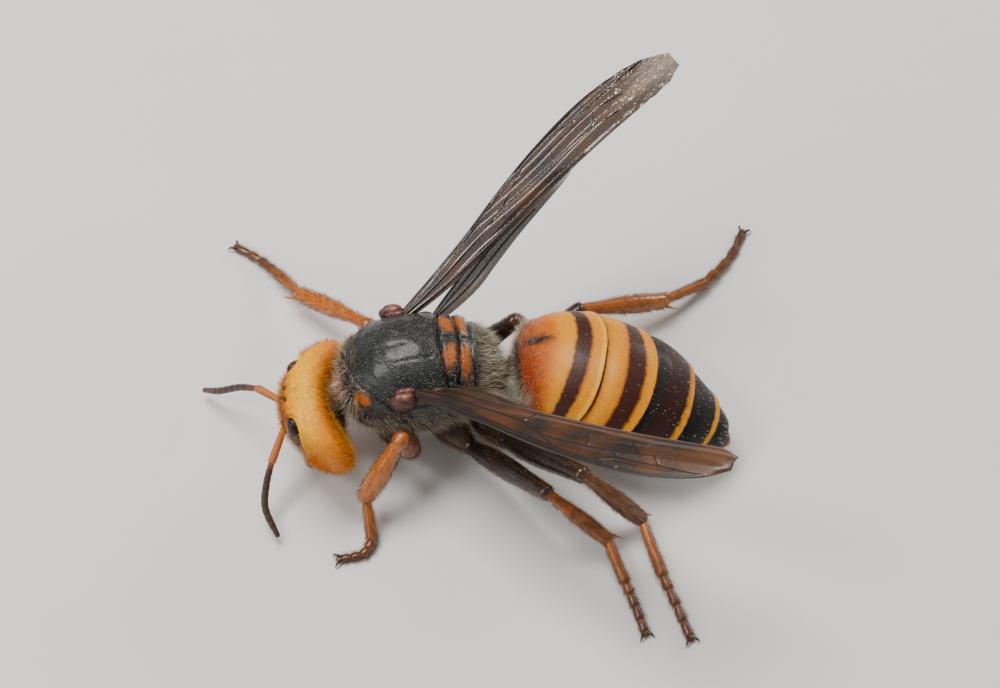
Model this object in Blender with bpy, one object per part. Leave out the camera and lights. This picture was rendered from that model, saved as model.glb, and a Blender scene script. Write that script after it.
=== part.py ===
# Asian giant hornet, a still life-size model standing on six feet, wings raised.
# The head points to -X, the tail to +X, the hornet's right side to +Y, up is +Z.
# Sizes are in millimetres and become metres when each piece is finished.

import math

import bpy
import bmesh
from mathutils import Euler, Matrix, Vector

MM = 0.001
GAP = 0.3
STANCE_CENTRE = (-1.57, -4.13)

THORAX_FRONT = Vector((-14.8, -4.57, 8.8))
THORAX_YAW = 8.0
THORAX_SIDES = 24
# From front to back: distance, half width, top and bottom, about the front's own height.
THORAX_SECTIONS = (
    (0.0, 1.6, 1.4, -1.8),
    (0.5, 3.0, 2.7, -3.1),
    (1.5, 4.1, 3.6, -4.0),
    (3.0, 4.8, 4.5, -4.6),
    (5.0, 5.15, 5.1, -4.9),
    (7.2, 5.2, 5.25, -5.0),
    (8.7, 5.05, 5.1, -4.95),
    (9.15, 4.95, 4.7, -4.9),
    (9.9, 4.8, 5.0, -4.8),
    (10.7, 4.65, 4.85, -4.75),
    (11.05, 4.55, 4.45, -4.7),
    (11.6, 4.35, 4.5, -4.65),
    (12.3, 4.15, 4.0, -4.55),
    (13.3, 3.7, 3.1, -4.3),
    (14.2, 3.1, 1.6, -4.0),
    (14.9, 2.3, 0.0, -3.5),
    (15.3, 1.2, -1.0, -2.8),
)

HEAD_CENTRE = Vector((-17.3, -6.75, 6.75))
HEAD_YAW = 3.0
HEAD_PITCH = 15.0
HEAD_HALF = Vector((2.9, 6.6, 4.5))
HEAD_SQUARENESS = 2.5
HEAD_SWEEP = 1.95
FACE_NARROWING = 0.16
HEAD_HOLLOW = 1.7
HEAD_HOLLOW_WIDTH = 3.6
CHIN_NARROWING = 0.3
EYE_PLACE = Vector((0.7, 3.35, 1.0))
EYE_HALF = Vector((1.2, 1.45, 3.0))
EYE_TILT = -12.0
EYE_TURN = 44.0
NECK_RADIUS = 1.35

SCAPE_RADIUS = 0.36
FLAGELLUM_RADIUS = 0.34
FLAGELLUM_RINGS = 11

TEGULA_PLACE = Vector((5.4, 4.9, 2.9))
TEGULA_HALF = Vector((1.2, 0.8, 1.05))

# Centre line of the abdomen from its waist to its tip.
GASTER_LINE = (
    (-0.4, -2.35, 6.8),
    (0.9, -2.1, 7.0),
    (4.3, -2.25, 7.4),
    (7.1, -2.95, 7.4),
    (10.1, -4.15, 7.1),
    (12.9, -5.1, 6.6),
    (16.4, -6.4, 5.5),
    (19.0, -7.1, 4.6),
    (20.9, -7.7, 3.6),
    (22.0, -8.0, 2.6),
)
# Distance along that line, half width and half height.
GASTER_SECTIONS = (
    (0.0, 0.85, 0.8),
    (1.3, 0.9, 0.85),
    (1.9, 1.9, 1.8),
    (2.6, 3.4, 3.1),
    (3.8, 4.6, 4.2),
    (5.4, 5.5, 4.9),
    (7.6, 6.1, 5.35),
    (10.2, 6.3, 5.5),
    (13.0, 6.15, 5.25),
    (15.6, 5.7, 4.7),
    (18.0, 4.85, 3.8),
    (20.2, 3.65, 2.85),
    (22.0, 2.3, 1.9),
    (23.2, 1.15, 0.95),
    (24.0, 0.35, 0.3),
)
GASTER_JOINTS = (0.0, 10.05, 14.4, 18.4, 21.3, 22.8, 24.0)
# How far the joints lie forward on the right side, and on both sides, of the abdomen.
GASTER_LEAN = (
    (0.0, 0.0, 0.0),
    (4.0, 0.6, 0.8),
    (8.0, 1.45, 2.1),
    (10.0, 1.7, 2.4),
    (12.0, 1.25, 2.2),
    (14.4, 1.15, 2.2),
    (18.4, 0.4, 1.4),
    (21.4, 0.2, 0.7),
    (24.0, 0.0, 0.0),
)
GASTER_BELLY_LEAN = 0.35
GASTER_SIDES = 28
GASTER_SQUARENESS = 2.15
GASTER_LIP = 0.14

# Share of the length, leading edge and trailing edge measured from the base-to-tip line.
FOREWING_OUTLINE = (
    (0.0, 0.5, -0.6),
    (0.06, 0.75, -0.85),
    (0.14, 1.05, -1.05),
    (0.27, 1.7, -1.05),
    (0.43, 2.75, -0.9),
    (0.59, 3.5, -0.7),
    (0.74, 3.7, -0.7),
    (0.87, 3.15, -0.85),
    (0.95, 2.3, -0.9),
    (1.0, 1.2, -0.35),
)
FOREWING_VEINS = (0.0, 0.42, 0.72, 1.0)
HINDWING_OUTLINE = (
    (0.0, 0.45, -0.6),
    (0.12, 0.8, -1.6),
    (0.28, 1.1, -2.1),
    (0.42, 1.3, -1.6),
    (0.6, 1.4, -1.0),
    (0.8, 1.3, -0.7),
    (0.95, 1.0, -0.5),
    (1.0, 0.6, -0.2),
)
# Where the hindwing ends under the forewing, as a share of the forewing, and how far below.
HINDWING_REACH = 0.62
HINDWING_DROP = 1.5
# How much of its rear lobe each hindwing spreads.
HINDWING_LOBE = {"left": 1.0, "right": 0.55}
HINDWING_VEINS = (0.0, 0.5, 1.0)
WING_THICKNESS = 0.5
WING_VEIN_RISE = 0.15
WING_CAMBER = 0.35
WING_ROWS = 24
FOREWING_ROOT = Vector((6.3, 4.3, 3.0))
HINDWING_ROOT = Vector((9.0, 3.9, 2.1))
WING_TIPS = {"left": Vector((19.7, -21.9, 24.0)), "right": Vector((16.15, 17.05, 29.0))}
WING_CHORDS = {"left": Vector((-0.467, -0.882, 0.076)), "right": Vector((-0.6, 0.78, 0.17))}

COXA_RADIUS = 1.35
TROCHANTER_RADIUS = 0.8
FOOT_RADII = (0.42, 0.5, 0.52, 0.55)
FOOT_BEADS = 4
FOOT_BEAD_RADII = (0.36, 0.5)
SPUR_LENGTH = 1.6
SPUR_RADIUS = 0.18
CLAW_LENGTH = 0.95
CLAW_SPREAD = 0.75
CLAW_RADIUS = 0.26
# Height of a claw's root, of its bend and of its tip.
CLAW_HEIGHTS = (0.45, 0.5, 0.16)
# Joints of each leg: hip inside the thorax, end of trochanter, knee, ankle, end of the
# long first foot joint, bend of the foot and claws. Then femur and tibia radii.
LEGS = {
    "leg_left_front": {
        "joints": ((-11.0, -6.2, 5.2), (-8.4, -8.9, 3.1), (-9.1, -11.3, 9.3),
                   (-12.55, -13.8, 3.0), (-12.0, -17.0, 0.9), (-12.6, -18.4, 0.5),
                   (-14.8, -18.95, 0.3)),
        "radii": (1.1, 0.95),
    },
    "leg_right_front": {
        "joints": ((-12.6, -2.4, 5.0), (-12.4, -1.3, 3.2), (-12.95, 4.1, 5.4),
                   (-20.0, 9.45, 2.6), (-22.5, 12.9, 1.2), (-24.5, 15.1, 0.5),
                   (-26.9, 16.75, 0.3)),
        "radii": (1.1, 0.85),
    },
    "leg_left_middle": {
        "joints": ((-5.6, -6.4, 4.8), (-3.2, -8.3, 3.4), (4.3, -15.35, 6.5),
                   (9.95, -17.75, 2.0), (11.5, -21.6, 1.1), (12.6, -24.4, 0.5),
                   (13.25, -26.4, 0.3)),
        "radii": (1.05, 0.75),
    },
    "leg_right_middle": {
        "joints": ((-6.4, -1.2, 4.6), (-4.2, 1.2, 3.2), (1.45, 2.05, 8.9),
                   (1.9, 5.8, 2.6), (6.2, 6.6, 1.0), (8.6, 6.7, 0.5),
                   (11.0, 6.4, 0.3)),
        "radii": (1.05, 0.75),
    },
    "leg_left_hind": {
        "joints": ((-2.1, -5.3, 5.0), (0.2, -7.7, 3.3), (7.6, -14.3, 8.0),
                   (13.2, -15.5, 1.8), (15.0, -20.8, 1.0), (16.4, -24.3, 0.5),
                   (17.35, -26.9, 0.3)),
        "radii": (1.1, 0.85),
    },
    "leg_right_hind": {
        "joints": ((-2.3, -2.0, 4.6), (0.3, 0.5, 2.5), (7.85, 5.4, 5.9),
                   (16.2, 8.6, 2.6), (20.6, 11.8, 1.1), (23.5, 15.4, 0.5),
                   (24.95, 18.6, 0.3)),
        "radii": (1.1, 0.9),
    },
}


for old in list(bpy.data.objects):
    bpy.data.objects.remove(old, do_unlink=True)


def material(name, colour, roughness, metallic=0.0):
    made = bpy.data.materials.new(name)
    made.use_nodes = True
    shader = made.node_tree.nodes["Principled BSDF"]
    shader.inputs["Base Color"].default_value = (*colour, 1.0)
    shader.inputs["Roughness"].default_value = roughness
    shader.inputs["Metallic"].default_value = metallic
    return made


ORANGE = material("orange_shell", (0.78, 0.30, 0.03), 0.35)
RUST = material("rust_shell", (0.32, 0.07, 0.02), 0.38)
BLACK = material("black_shell", (0.02, 0.015, 0.013), 0.42)
BANDED = material("banded_shell", (0.62, 0.20, 0.02), 0.32)
EYE_DARK = material("eye", (0.03, 0.01, 0.008), 0.12)
WING = material("wing_membrane", (0.14, 0.06, 0.04), 0.25)
ANTENNA_DARK = material("antenna_dark", (0.07, 0.03, 0.02), 0.5)


def new_object(name, verts, faces, finish=None):
    mesh = bpy.data.meshes.new(name)
    mesh.from_pydata([tuple(v) for v in verts], [], faces)
    mesh.update()
    made = bpy.data.objects.new(name, mesh)
    bpy.context.scene.collection.objects.link(made)
    tidy = bmesh.new()
    tidy.from_mesh(mesh)
    bmesh.ops.recalc_face_normals(tidy, faces=tidy.faces)
    tidy.to_mesh(mesh)
    tidy.free()
    if finish:
        mesh.materials.append(finish)
    return made


def close_rings(rings, start, end):
    """Skin between rings of equal count, closed by a point at each end."""
    count = len(rings[0])
    verts = [start] + [p for ring in rings for p in ring] + [end]
    last = len(verts) - 1
    faces = [(0, 1 + (i + 1) % count, 1 + i) for i in range(count)]
    for row in range(len(rings) - 1):
        a, b = 1 + row * count, 1 + (row + 1) * count
        faces += [(a + i, a + (i + 1) % count, b + (i + 1) % count, b + i) for i in range(count)]
    tail = last - count
    faces += [(last, tail + i, tail + (i + 1) % count) for i in range(count)]
    return verts, faces


def oval(centre, side, up, half_side, half_up, count, power=2.0):
    points = []
    for i in range(count):
        angle = 2.0 * math.pi * i / count
        c, s = math.cos(angle), math.sin(angle)
        a = math.copysign(abs(c) ** (2.0 / power), c) * half_side
        b = math.copysign(abs(s) ** (2.0 / power), s) * half_up
        points.append(centre + side * a + up * b)
    return points


def smooth_value(table, t, column=1):
    """Value of a column of a table at t, along a curve through its rows."""
    for i in range(len(table) - 1):
        if t <= table[i + 1][0] or i == len(table) - 2:
            break
    p1, p2 = table[i], table[i + 1]
    p0 = table[i - 1] if i else p1
    p3 = table[i + 2] if i + 2 < len(table) else p2
    span = p2[0] - p1[0]
    u = min(max((t - p1[0]) / span, 0.0), 1.0)
    m1 = (p2[column] - p0[column]) / max(p2[0] - p0[0], 1e-6) * span
    m2 = (p3[column] - p1[column]) / max(p3[0] - p1[0], 1e-6) * span
    a, b = p1[column], p2[column]
    return (a * (2 * u**3 - 3 * u**2 + 1) + m1 * (u**3 - 2 * u**2 + u)
            + b * (3 * u**2 - 2 * u**3) + m2 * (u**3 - u**2))


def measured(points):
    """Rows of (distance along, x, y, z) for a list of points."""
    rows, travelled = [], 0.0
    for i, p in enumerate(points):
        if i:
            travelled += (Vector(p) - Vector(points[i - 1])).length
        rows.append((travelled, *p))
    return rows


def along(rows, t):
    return Vector([smooth_value(rows, t, column) for column in (1, 2, 3)])


def tube(name, points, radii, sides=9, steps=12, finish=None):
    """Round-ended tube through the points, as thick as the radii spread along it."""
    rows = measured(points)
    length = rows[-1][0]
    profile = [(length * i / (len(radii) - 1), r) for i, r in enumerate(radii)]
    rings, side = [], None
    for i in range(steps + 1):
        t = length * i / steps
        ahead = along(rows, min(t + 0.01 * length, length))
        behind = along(rows, max(t - 0.01 * length, 0.0))
        way = (ahead - behind).normalized()
        if side is None:
            side = way.orthogonal().normalized()
        side = (side - way * side.dot(way)).normalized()
        up = way.cross(side)
        r = smooth_value(profile, t)
        centre = along(rows, t)
        if i == 0:
            start = centre - way * r * 0.8
            rings.append(oval(centre - way * r * 0.5, side, up, r * 0.75, r * 0.75, sides))
        rings.append(oval(centre, side, up, r, r, sides))
        if i == steps:
            end = centre + way * r * 0.8
            rings.append(oval(centre + way * r * 0.5, side, up, r * 0.75, r * 0.75, sides))
    return new_object(name, *close_rings(rings, start, end), finish)


def spike(name, points, radius, sides=5, steps=2):
    """Curved thorn that tapers to a fine tip."""
    return tube(name, points, (radius, radius * 0.75, radius * 0.22), sides, steps)


def egg(name, centre, half, turn, finish=None, across=16, high=11):
    verts, faces = [], []
    ball = bmesh.new()
    bmesh.ops.create_uvsphere(ball, u_segments=across, v_segments=high, radius=1.0)
    for v in ball.verts:
        place = Vector((v.co.x * half.x, v.co.y * half.y, v.co.z * half.z))
        verts.append(centre + turn @ place)
    for f in ball.faces:
        faces.append([v.index for v in f.verts])
    ball.free()
    return new_object(name, verts, faces, finish)


def largest_surface(mesh):
    """Keep only the closed surface with the most faces."""
    work = bmesh.new()
    work.from_mesh(mesh)
    left, groups = set(work.verts), []
    while left:
        stack, group = [left.pop()], []
        while stack:
            v = stack.pop()
            group.append(v)
            for e in v.link_edges:
                other = e.other_vert(v)
                if other in left:
                    left.discard(other)
                    stack.append(other)
        groups.append(group)
    groups.sort(key=len, reverse=True)
    for group in groups[1:]:
        bmesh.ops.delete(work, geom=group, context="VERTS")
    work.to_mesh(mesh)
    work.free()


def boolean(target, operation, others):
    """Apply one Boolean of the target with all the others, and remove the others."""
    helper = bpy.data.collections.new("helpers")
    for other in others:
        helper.objects.link(other)
    step = target.modifiers.new("join", "BOOLEAN")
    step.operation = operation
    step.operand_type = "COLLECTION"
    step.collection = helper
    step.solver = "EXACT"
    finished = bpy.data.meshes.new_from_object(
        target.evaluated_get(bpy.context.evaluated_depsgraph_get()))
    target.modifiers.clear()
    finish = target.data.materials[0] if target.data.materials else None
    target.data = finished
    finished.materials.clear()
    if finish:
        finished.materials.append(finish)
    for polygon in finished.polygons:
        polygon.material_index = 0
    largest_surface(finished)
    for other in others:
        bpy.data.objects.remove(other, do_unlink=True)
    bpy.data.collections.remove(helper)
    return target


def fuse(first, *others):
    return boolean(first, "UNION", others)


def swollen(source, amount=GAP):
    """Copy of a piece with its surface moved outwards."""
    copy = source.copy()
    copy.data = source.data.copy()
    bpy.context.scene.collection.objects.link(copy)
    normals = [v.normal.copy() for v in copy.data.vertices]
    for v, normal in zip(copy.data.vertices, normals):
        v.co += normal * amount
    return copy


def carve(target, *parents):
    """Cut the target back so that it keeps the gap to each piece it grows from."""
    return boolean(target, "DIFFERENCE", [swollen(p) for p in parents])


def flatten_sole(piece):
    """Cut away what dips below the floor and close the cuts with flats."""
    work = bmesh.new()
    work.from_mesh(piece.data)
    bmesh.ops.bisect_plane(work, geom=work.verts[:] + work.edges[:] + work.faces[:],
                           plane_co=(0.0, 0.0, 0.0), plane_no=(0.0, 0.0, 1.0), clear_inner=True)
    open_edges = [e for e in work.edges if e.is_boundary]
    bmesh.ops.holes_fill(work, edges=open_edges, sides=0)
    bmesh.ops.recalc_face_normals(work, faces=work.faces)
    work.to_mesh(piece.data)
    work.free()


THORAX_TURN = Euler((0.0, 0.0, math.radians(THORAX_YAW))).to_matrix()


def thorax_point(local, side=1.0):
    """Place at a distance behind the front, out to one side and above the middle."""
    return THORAX_FRONT + THORAX_TURN @ Vector((local.x, local.y * side, local.z))


def head_point(local, side=1.0):
    return HEAD_CENTRE + HEAD_TURN @ Vector((local.x, local.y * side, local.z))


# Local X of the head is the way the face looks.
HEAD_TURN = (Euler((0.0, 0.0, math.radians(180.0 + HEAD_YAW))).to_matrix()
             @ Euler((0.0, math.radians(HEAD_PITCH), 0.0)).to_matrix())


def make_thorax():
    side = THORAX_TURN @ Vector((0.0, 1.0, 0.0))
    up = Vector((0.0, 0.0, 1.0))
    rings = []
    for distance, width, top, bottom in THORAX_SECTIONS:
        middle = thorax_point(Vector((distance, 0.0, (top + bottom) / 2.0)))
        rings.append(oval(middle, side, up, width, (top - bottom) / 2.0, THORAX_SIDES, 2.3))
    first, last = THORAX_SECTIONS[0], THORAX_SECTIONS[-1]
    start = thorax_point(Vector((-0.3, 0.0, (first[2] + first[3]) / 2.0)))
    end = thorax_point(Vector((last[0] + 0.2, 0.0, (last[2] + last[3]) / 2.0)))
    return new_object("thorax", *close_rings(rings, start, end), BLACK)


def make_head():
    """Broad head: squarish ball, its sides swept back, its rear hollow, its chin narrow."""
    ball = bmesh.new()
    bmesh.ops.create_uvsphere(ball, u_segments=28, v_segments=16, radius=1.0)
    verts = []
    for v in ball.verts:
        n = v.co.normalized()
        scale = sum(abs(c) ** HEAD_SQUARENESS for c in n) ** (-1.0 / HEAD_SQUARENESS)
        x, y, z = n.x * scale, n.y * scale, n.z * scale
        place = Vector((x * HEAD_HALF.x, y * HEAD_HALF.y, z * HEAD_HALF.z))
        low = max(0.0, -z)
        place.y *= 1.0 - CHIN_NARROWING * low**2
        place.y *= 1.0 - FACE_NARROWING * max(0.0, x)
        place.x -= HEAD_SWEEP * y * y
        if x < 0.0:
            reach = math.exp(-(place.y**2 + place.z**2) / HEAD_HOLLOW_WIDTH**2)
            place.x += HEAD_HOLLOW * reach * -x
        verts.append(head_point(place))
    faces = [[v.index for v in f.verts] for f in ball.faces]
    ball.free()
    return new_object("head", verts, faces, ORANGE)


def make_eye(name, side):
    turn = HEAD_TURN @ Euler((math.radians(-EYE_TILT * side), 0.0,
                              math.radians(EYE_TURN * side))).to_matrix()
    return egg(name, head_point(EYE_PLACE, side), EYE_HALF, turn, EYE_DARK, 14, 8)


def make_mandible(name, side):
    root = head_point(Vector((1.4, 2.3, -3.3)), side)
    bend = head_point(Vector((2.1, 2.1, -4.7)), side)
    tip = head_point(Vector((2.2, 0.7, -5.4)), side)
    return tube(name, (root, bend, tip), (1.0, 1.05, 0.85, 0.4), 10, 7, RUST)


def make_antenna(side_name, side, elbow, route):
    root = head_point(Vector((3.0, 1.0, 0.7)), side)
    scape = tube(f"antenna_{side_name}_scape", (root, (root + elbow) / 2.0, elbow),
                 (SCAPE_RADIUS * 0.8, SCAPE_RADIUS, SCAPE_RADIUS * 1.1), 8, 4, RUST)
    r = FLAGELLUM_RADIUS
    flagellum = tube(f"antenna_{side_name}_flagellum", (elbow, *route),
                     (r * 0.85, r, r * 1.05, r * 1.05, r, r * 0.75), 7,
                     FLAGELLUM_RINGS, ANTENNA_DARK)
    return scape, flagellum


def gaster_point(t, angle, grow=0.0):
    """Point of the abdomen's skin; the angle turns from its right side over the top."""
    rows = measured(GASTER_LINE)
    length = rows[-1][0]
    share = min(t, length)
    way = (along(rows, min(share + 0.3, length)) - along(rows, max(share - 0.3, 0.0)))
    way.normalize()
    side = Vector((0.0, 0.0, 1.0)).cross(way).normalized()
    up = way.cross(side)
    centre = along(rows, share) + way * (t - share)
    width = smooth_value(GASTER_SECTIONS, t, 1) + grow
    height = smooth_value(GASTER_SECTIONS, t, 2) + grow
    c, s = math.cos(angle), math.sin(angle)
    a = math.copysign(abs(c) ** (2.0 / GASTER_SQUARENESS), c) * width
    b = math.copysign(abs(s) ** (2.0 / GASTER_SQUARENESS), s) * height
    return centre + side * a + up * b


def gaster_ring(t, grow=0.0):
    """Ring of the abdomen, slanted and bowed as its joints are."""
    points = []
    for i in range(GASTER_SIDES):
        angle = 2.0 * math.pi * i / GASTER_SIDES
        across, up = math.cos(angle), math.sin(angle)
        bow = 1.0 - up if up > 0.0 else 1.0 - (1.0 - GASTER_BELLY_LEAN) * (1.0 - abs(across))
        lean = (smooth_value(GASTER_LEAN, t, 1) * across + smooth_value(GASTER_LEAN, t, 2) * bow)
        points.append(gaster_point(t - lean, angle, grow))
    return points


def make_gaster_segment(index, finish):
    """One ring of the abdomen, its rear rim standing a little over the next."""
    start, end = GASTER_JOINTS[index], GASTER_JOINTS[index + 1]
    first, last = start + GAP / 2.0, end - GAP / 2.0
    if index == 0:
        stations = [t for t, _, _ in GASTER_SECTIONS if t < last - 1.2] + [last - 0.8, last]
    else:
        count = 3
        stations = [first + (last - first) * i / count for i in range(count + 1)]
    is_tip = index == len(GASTER_JOINTS) - 2
    rings = []
    for t in stations:
        rise = max(0.0, (t - last + 0.8) / 0.8) * GASTER_LIP
        rings.append(gaster_ring(t, 0.0 if is_tip else rise))
    start_point = sum(rings[0], Vector()) / GASTER_SIDES
    end_point = sum(rings[-1], Vector()) / GASTER_SIDES
    return new_object(f"gaster_{index + 1}", *close_rings(rings, start_point, end_point), finish)


def make_wing(name, root, tip, chord, outline, veins, lobe=1.0):
    """Thin two-faced blade with its main veins raised along its own surface."""
    length = (tip - root).length
    tip_way = (tip - root).normalized()
    chord = (chord - tip_way * chord.dot(tip_way)).normalized()
    normal = tip_way.cross(chord).normalized()
    if normal.z < 0.0:
        normal = -normal
    columns = []
    for i in range(len(veins) - 1):
        columns += [veins[i], (veins[i] + veins[i + 1]) / 2.0]
    columns.append(veins[-1])
    upper, lower = [], []
    for row in range(WING_ROWS + 1):
        f = row / WING_ROWS
        lead, trail = smooth_value(outline, f, 1), smooth_value(outline, f, 2) * lobe
        for column in columns:
            across = trail + (lead - trail) * column
            bow = WING_CAMBER * 4.0 * column * (1.0 - column)
            middle = root + tip_way * (length * f) + chord * across + normal * bow
            half = WING_THICKNESS / 2.0
            if column in veins:
                half += WING_VEIN_RISE * (1.0 - 0.5 * f)
            half *= 1.0 - 0.45 * max(0.0, f - 0.9) / 0.1
            upper.append(middle + normal * half)
            lower.append(middle - normal * half)
    wide, tall = len(columns), WING_ROWS + 1
    offset = wide * tall
    faces = []
    for row in range(tall - 1):
        for col in range(wide - 1):
            a, b = row * wide + col, row * wide + col + 1
            c, d = a + wide, b + wide
            faces += [(a, b, d), (a, d, c)]
            faces += [(offset + a, offset + d, offset + b), (offset + a, offset + c, offset + d)]
    rim = [col for col in range(wide)]
    rim += [row * wide + wide - 1 for row in range(1, tall)]
    rim += [(tall - 1) * wide + col for col in range(wide - 2, -1, -1)]
    rim += [row * wide for row in range(tall - 2, 0, -1)]
    for i, a in enumerate(rim):
        b = rim[(i + 1) % len(rim)]
        faces += [(a, offset + a, offset + b), (a, offset + b, b)]
    return new_object(name, upper + lower, faces, WING)


def make_leg(name, joints, radii, thorax):
    """Three nodes of a leg: hip with thigh, shin with two spurs, and foot with claws."""
    hip, trochanter, knee, ankle, foot, bend, claws = [Vector(j) for j in joints]
    thigh, shin = radii
    coxa = tube(f"{name}_femur", (hip, hip.lerp(trochanter, 0.5), trochanter),
                (COXA_RADIUS, COXA_RADIUS, TROCHANTER_RADIUS), 9, 4, BLACK)
    femur_way = (knee - trochanter).normalized()
    femur = tube("femur", (trochanter - femur_way * 0.3, trochanter.lerp(knee, 0.5), knee),
                 (thigh * 0.55, thigh * 0.95, thigh, thigh * 0.85, thigh * 0.72), 9, 6)
    tibia = tube(f"{name}_tibia", (knee, knee.lerp(ankle, 0.5), ankle),
                 (shin * 0.6, shin * 0.75, shin * 0.95, shin, shin * 0.8), 8, 6, RUST)
    tarsus = tube(f"{name}_tarsus", (ankle, ankle.lerp(foot, 0.5), foot),
                  FOOT_RADII, 8, 3, RUST)
    tibia_way = (ankle - knee).normalized()
    down = Vector((0.0, 0.0, -1.0))
    spurs = []
    for turn in (-1.0, 1.0):
        out = tibia_way.cross(down).normalized() * turn
        root = ankle - tibia_way * 0.7 + out * shin * 0.5
        way = (tibia_way + out * 0.6).normalized() * SPUR_LENGTH
        spurs.append(spike("spur", (root, root + way * 0.5, root + way), SPUR_RADIUS))
    for spur in spurs:
        carve(spur, tarsus)
    carve(tarsus, tibia)
    carve(tibia, femur)
    fuse(tibia, *spurs)
    fuse(coxa, femur)
    carve(coxa, thorax)
    walk = (claws - bend).normalized()
    chain = measured((foot, bend, claws))
    beads = []
    for i in range(FOOT_BEADS):
        start = along(chain, chain[-1][0] * (i - 0.15) / FOOT_BEADS)
        end = along(chain, chain[-1][0] * (i + 0.8) / FOOT_BEADS)
        beads.append(tube("bead", (start, end), FOOT_BEAD_RADII, 8, 2))
    across = walk.cross(down).normalized()
    for turn in (-1.0, 1.0):
        root = claws - walk * 0.35
        reach = claws + walk * CLAW_LENGTH * 0.45 + across * turn * CLAW_SPREAD * 0.6
        tip = claws + walk * CLAW_LENGTH * 0.75 + across * turn * CLAW_SPREAD
        root.z, reach.z, tip.z = CLAW_HEIGHTS
        beads.append(spike("claw", (root, reach, tip), CLAW_RADIUS))
    fuse(tarsus, *beads)
    flatten_sole(tarsus)


thorax = make_thorax()
neck = tube("neck", (thorax_point(Vector((0.8, 0.0, -0.4))), THORAX_FRONT.lerp(HEAD_CENTRE, 0.4),
                     HEAD_CENTRE), (NECK_RADIUS, NECK_RADIUS, NECK_RADIUS), 12, 4)
fuse(thorax, neck)

head = make_head()
carve(thorax, head)
for side_name, side in (("left", 1.0), ("right", -1.0)):
    eye = make_eye(f"eye_{side_name}", side)
    carve(head, eye)
for side_name, side in (("left", 1.0), ("right", -1.0)):
    carve(make_mandible(f"mandible_{side_name}", side), head)

antennae = {
    "left": (1.0, Vector((-21.35, -11.1, 4.9)),
             (Vector((-21.9, -12.6, 3.4)), Vector((-22.0, -14.6, 2.2)), Vector((-20.8, -16.9, 1.0)))),
    "right": (-1.0, Vector((-22.9, -4.2, 6.7)),
              (Vector((-24.9, -3.0, 5.0)), Vector((-27.2, -2.1, 2.9)), Vector((-28.9, -0.95, 1.2)))),
}
for side_name, (side, elbow, route) in antennae.items():
    scape, flagellum = make_antenna(side_name, side, elbow, route)
    carve(scape, head)
    carve(flagellum, scape)

# The hornet's right side is +Y in the thorax's own axes.
for side_name, side in (("left", -1.0), ("right", 1.0)):
    tegula = egg(f"tegula_{side_name}", thorax_point(TEGULA_PLACE, side), TEGULA_HALF,
                 THORAX_TURN, RUST, 12, 8)
    carve(tegula, thorax)
    root = thorax_point(FOREWING_ROOT, side)
    tip = WING_TIPS[side_name]
    forewing = make_wing(f"forewing_{side_name}", root, tip, WING_CHORDS[side_name],
                         FOREWING_OUTLINE, FOREWING_VEINS)
    carve(forewing, thorax, tegula)
    below = root.lerp(tip, HINDWING_REACH) - Vector((0.0, 0.0, HINDWING_DROP))
    hindwing = make_wing(f"hindwing_{side_name}", thorax_point(HINDWING_ROOT, side), below,
                         WING_CHORDS[side_name], HINDWING_OUTLINE, HINDWING_VEINS,
                         HINDWING_LOBE[side_name])
    carve(hindwing, thorax)

for leg_name, leg in LEGS.items():
    make_leg(leg_name, leg["joints"], leg["radii"], thorax)

for index in range(len(GASTER_JOINTS) - 1):
    segment = make_gaster_segment(index, BANDED if index < 3 else BLACK)
    if index == 0:
        carve(segment, thorax)

to_metres = Matrix.Scale(MM, 4) @ Matrix.Translation((-STANCE_CENTRE[0], -STANCE_CENTRE[1], 0.0))
for piece in bpy.context.scene.objects:
    piece.data.transform(to_metres)
    piece.data.shade_smooth()
    piece.data.set_sharp_from_angle(angle=math.radians(40.0))
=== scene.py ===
# Asian giant hornet standing with raised wings: the looks of the still, life-size model.
# Each shape is laid out in millimetres round the body and set in metres as its mesh is made.
import math

import bpy
import numpy as np
from mathutils import Euler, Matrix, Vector, noise


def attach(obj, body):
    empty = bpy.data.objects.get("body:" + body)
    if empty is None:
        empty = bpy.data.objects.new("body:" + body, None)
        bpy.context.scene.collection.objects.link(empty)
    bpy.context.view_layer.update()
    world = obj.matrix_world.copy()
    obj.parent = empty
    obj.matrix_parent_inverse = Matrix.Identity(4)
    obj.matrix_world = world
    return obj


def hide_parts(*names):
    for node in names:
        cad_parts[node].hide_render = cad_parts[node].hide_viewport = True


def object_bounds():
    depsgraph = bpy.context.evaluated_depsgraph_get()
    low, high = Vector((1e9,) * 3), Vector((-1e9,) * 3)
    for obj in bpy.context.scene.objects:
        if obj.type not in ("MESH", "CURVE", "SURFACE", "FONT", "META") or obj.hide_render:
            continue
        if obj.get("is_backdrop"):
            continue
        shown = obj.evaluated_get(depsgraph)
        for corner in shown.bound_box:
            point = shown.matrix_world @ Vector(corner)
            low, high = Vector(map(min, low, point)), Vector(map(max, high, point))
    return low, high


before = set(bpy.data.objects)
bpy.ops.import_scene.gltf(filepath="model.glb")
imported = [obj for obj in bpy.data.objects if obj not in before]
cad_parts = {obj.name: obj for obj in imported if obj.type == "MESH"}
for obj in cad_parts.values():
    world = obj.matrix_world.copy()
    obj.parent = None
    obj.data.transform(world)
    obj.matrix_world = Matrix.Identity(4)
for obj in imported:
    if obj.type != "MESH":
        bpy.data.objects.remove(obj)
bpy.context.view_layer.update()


# The hornet stands on a pale, dull floor under wide soft lights, seen from its left side and
# from above, as a person bending over it would see it.
CAMERA_HEIGHT_ANGLE = 57.0
CAMERA_PLACE = (0.00157, -0.1048, 0.17573)
CAMERA_LENS = 75.6

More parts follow.
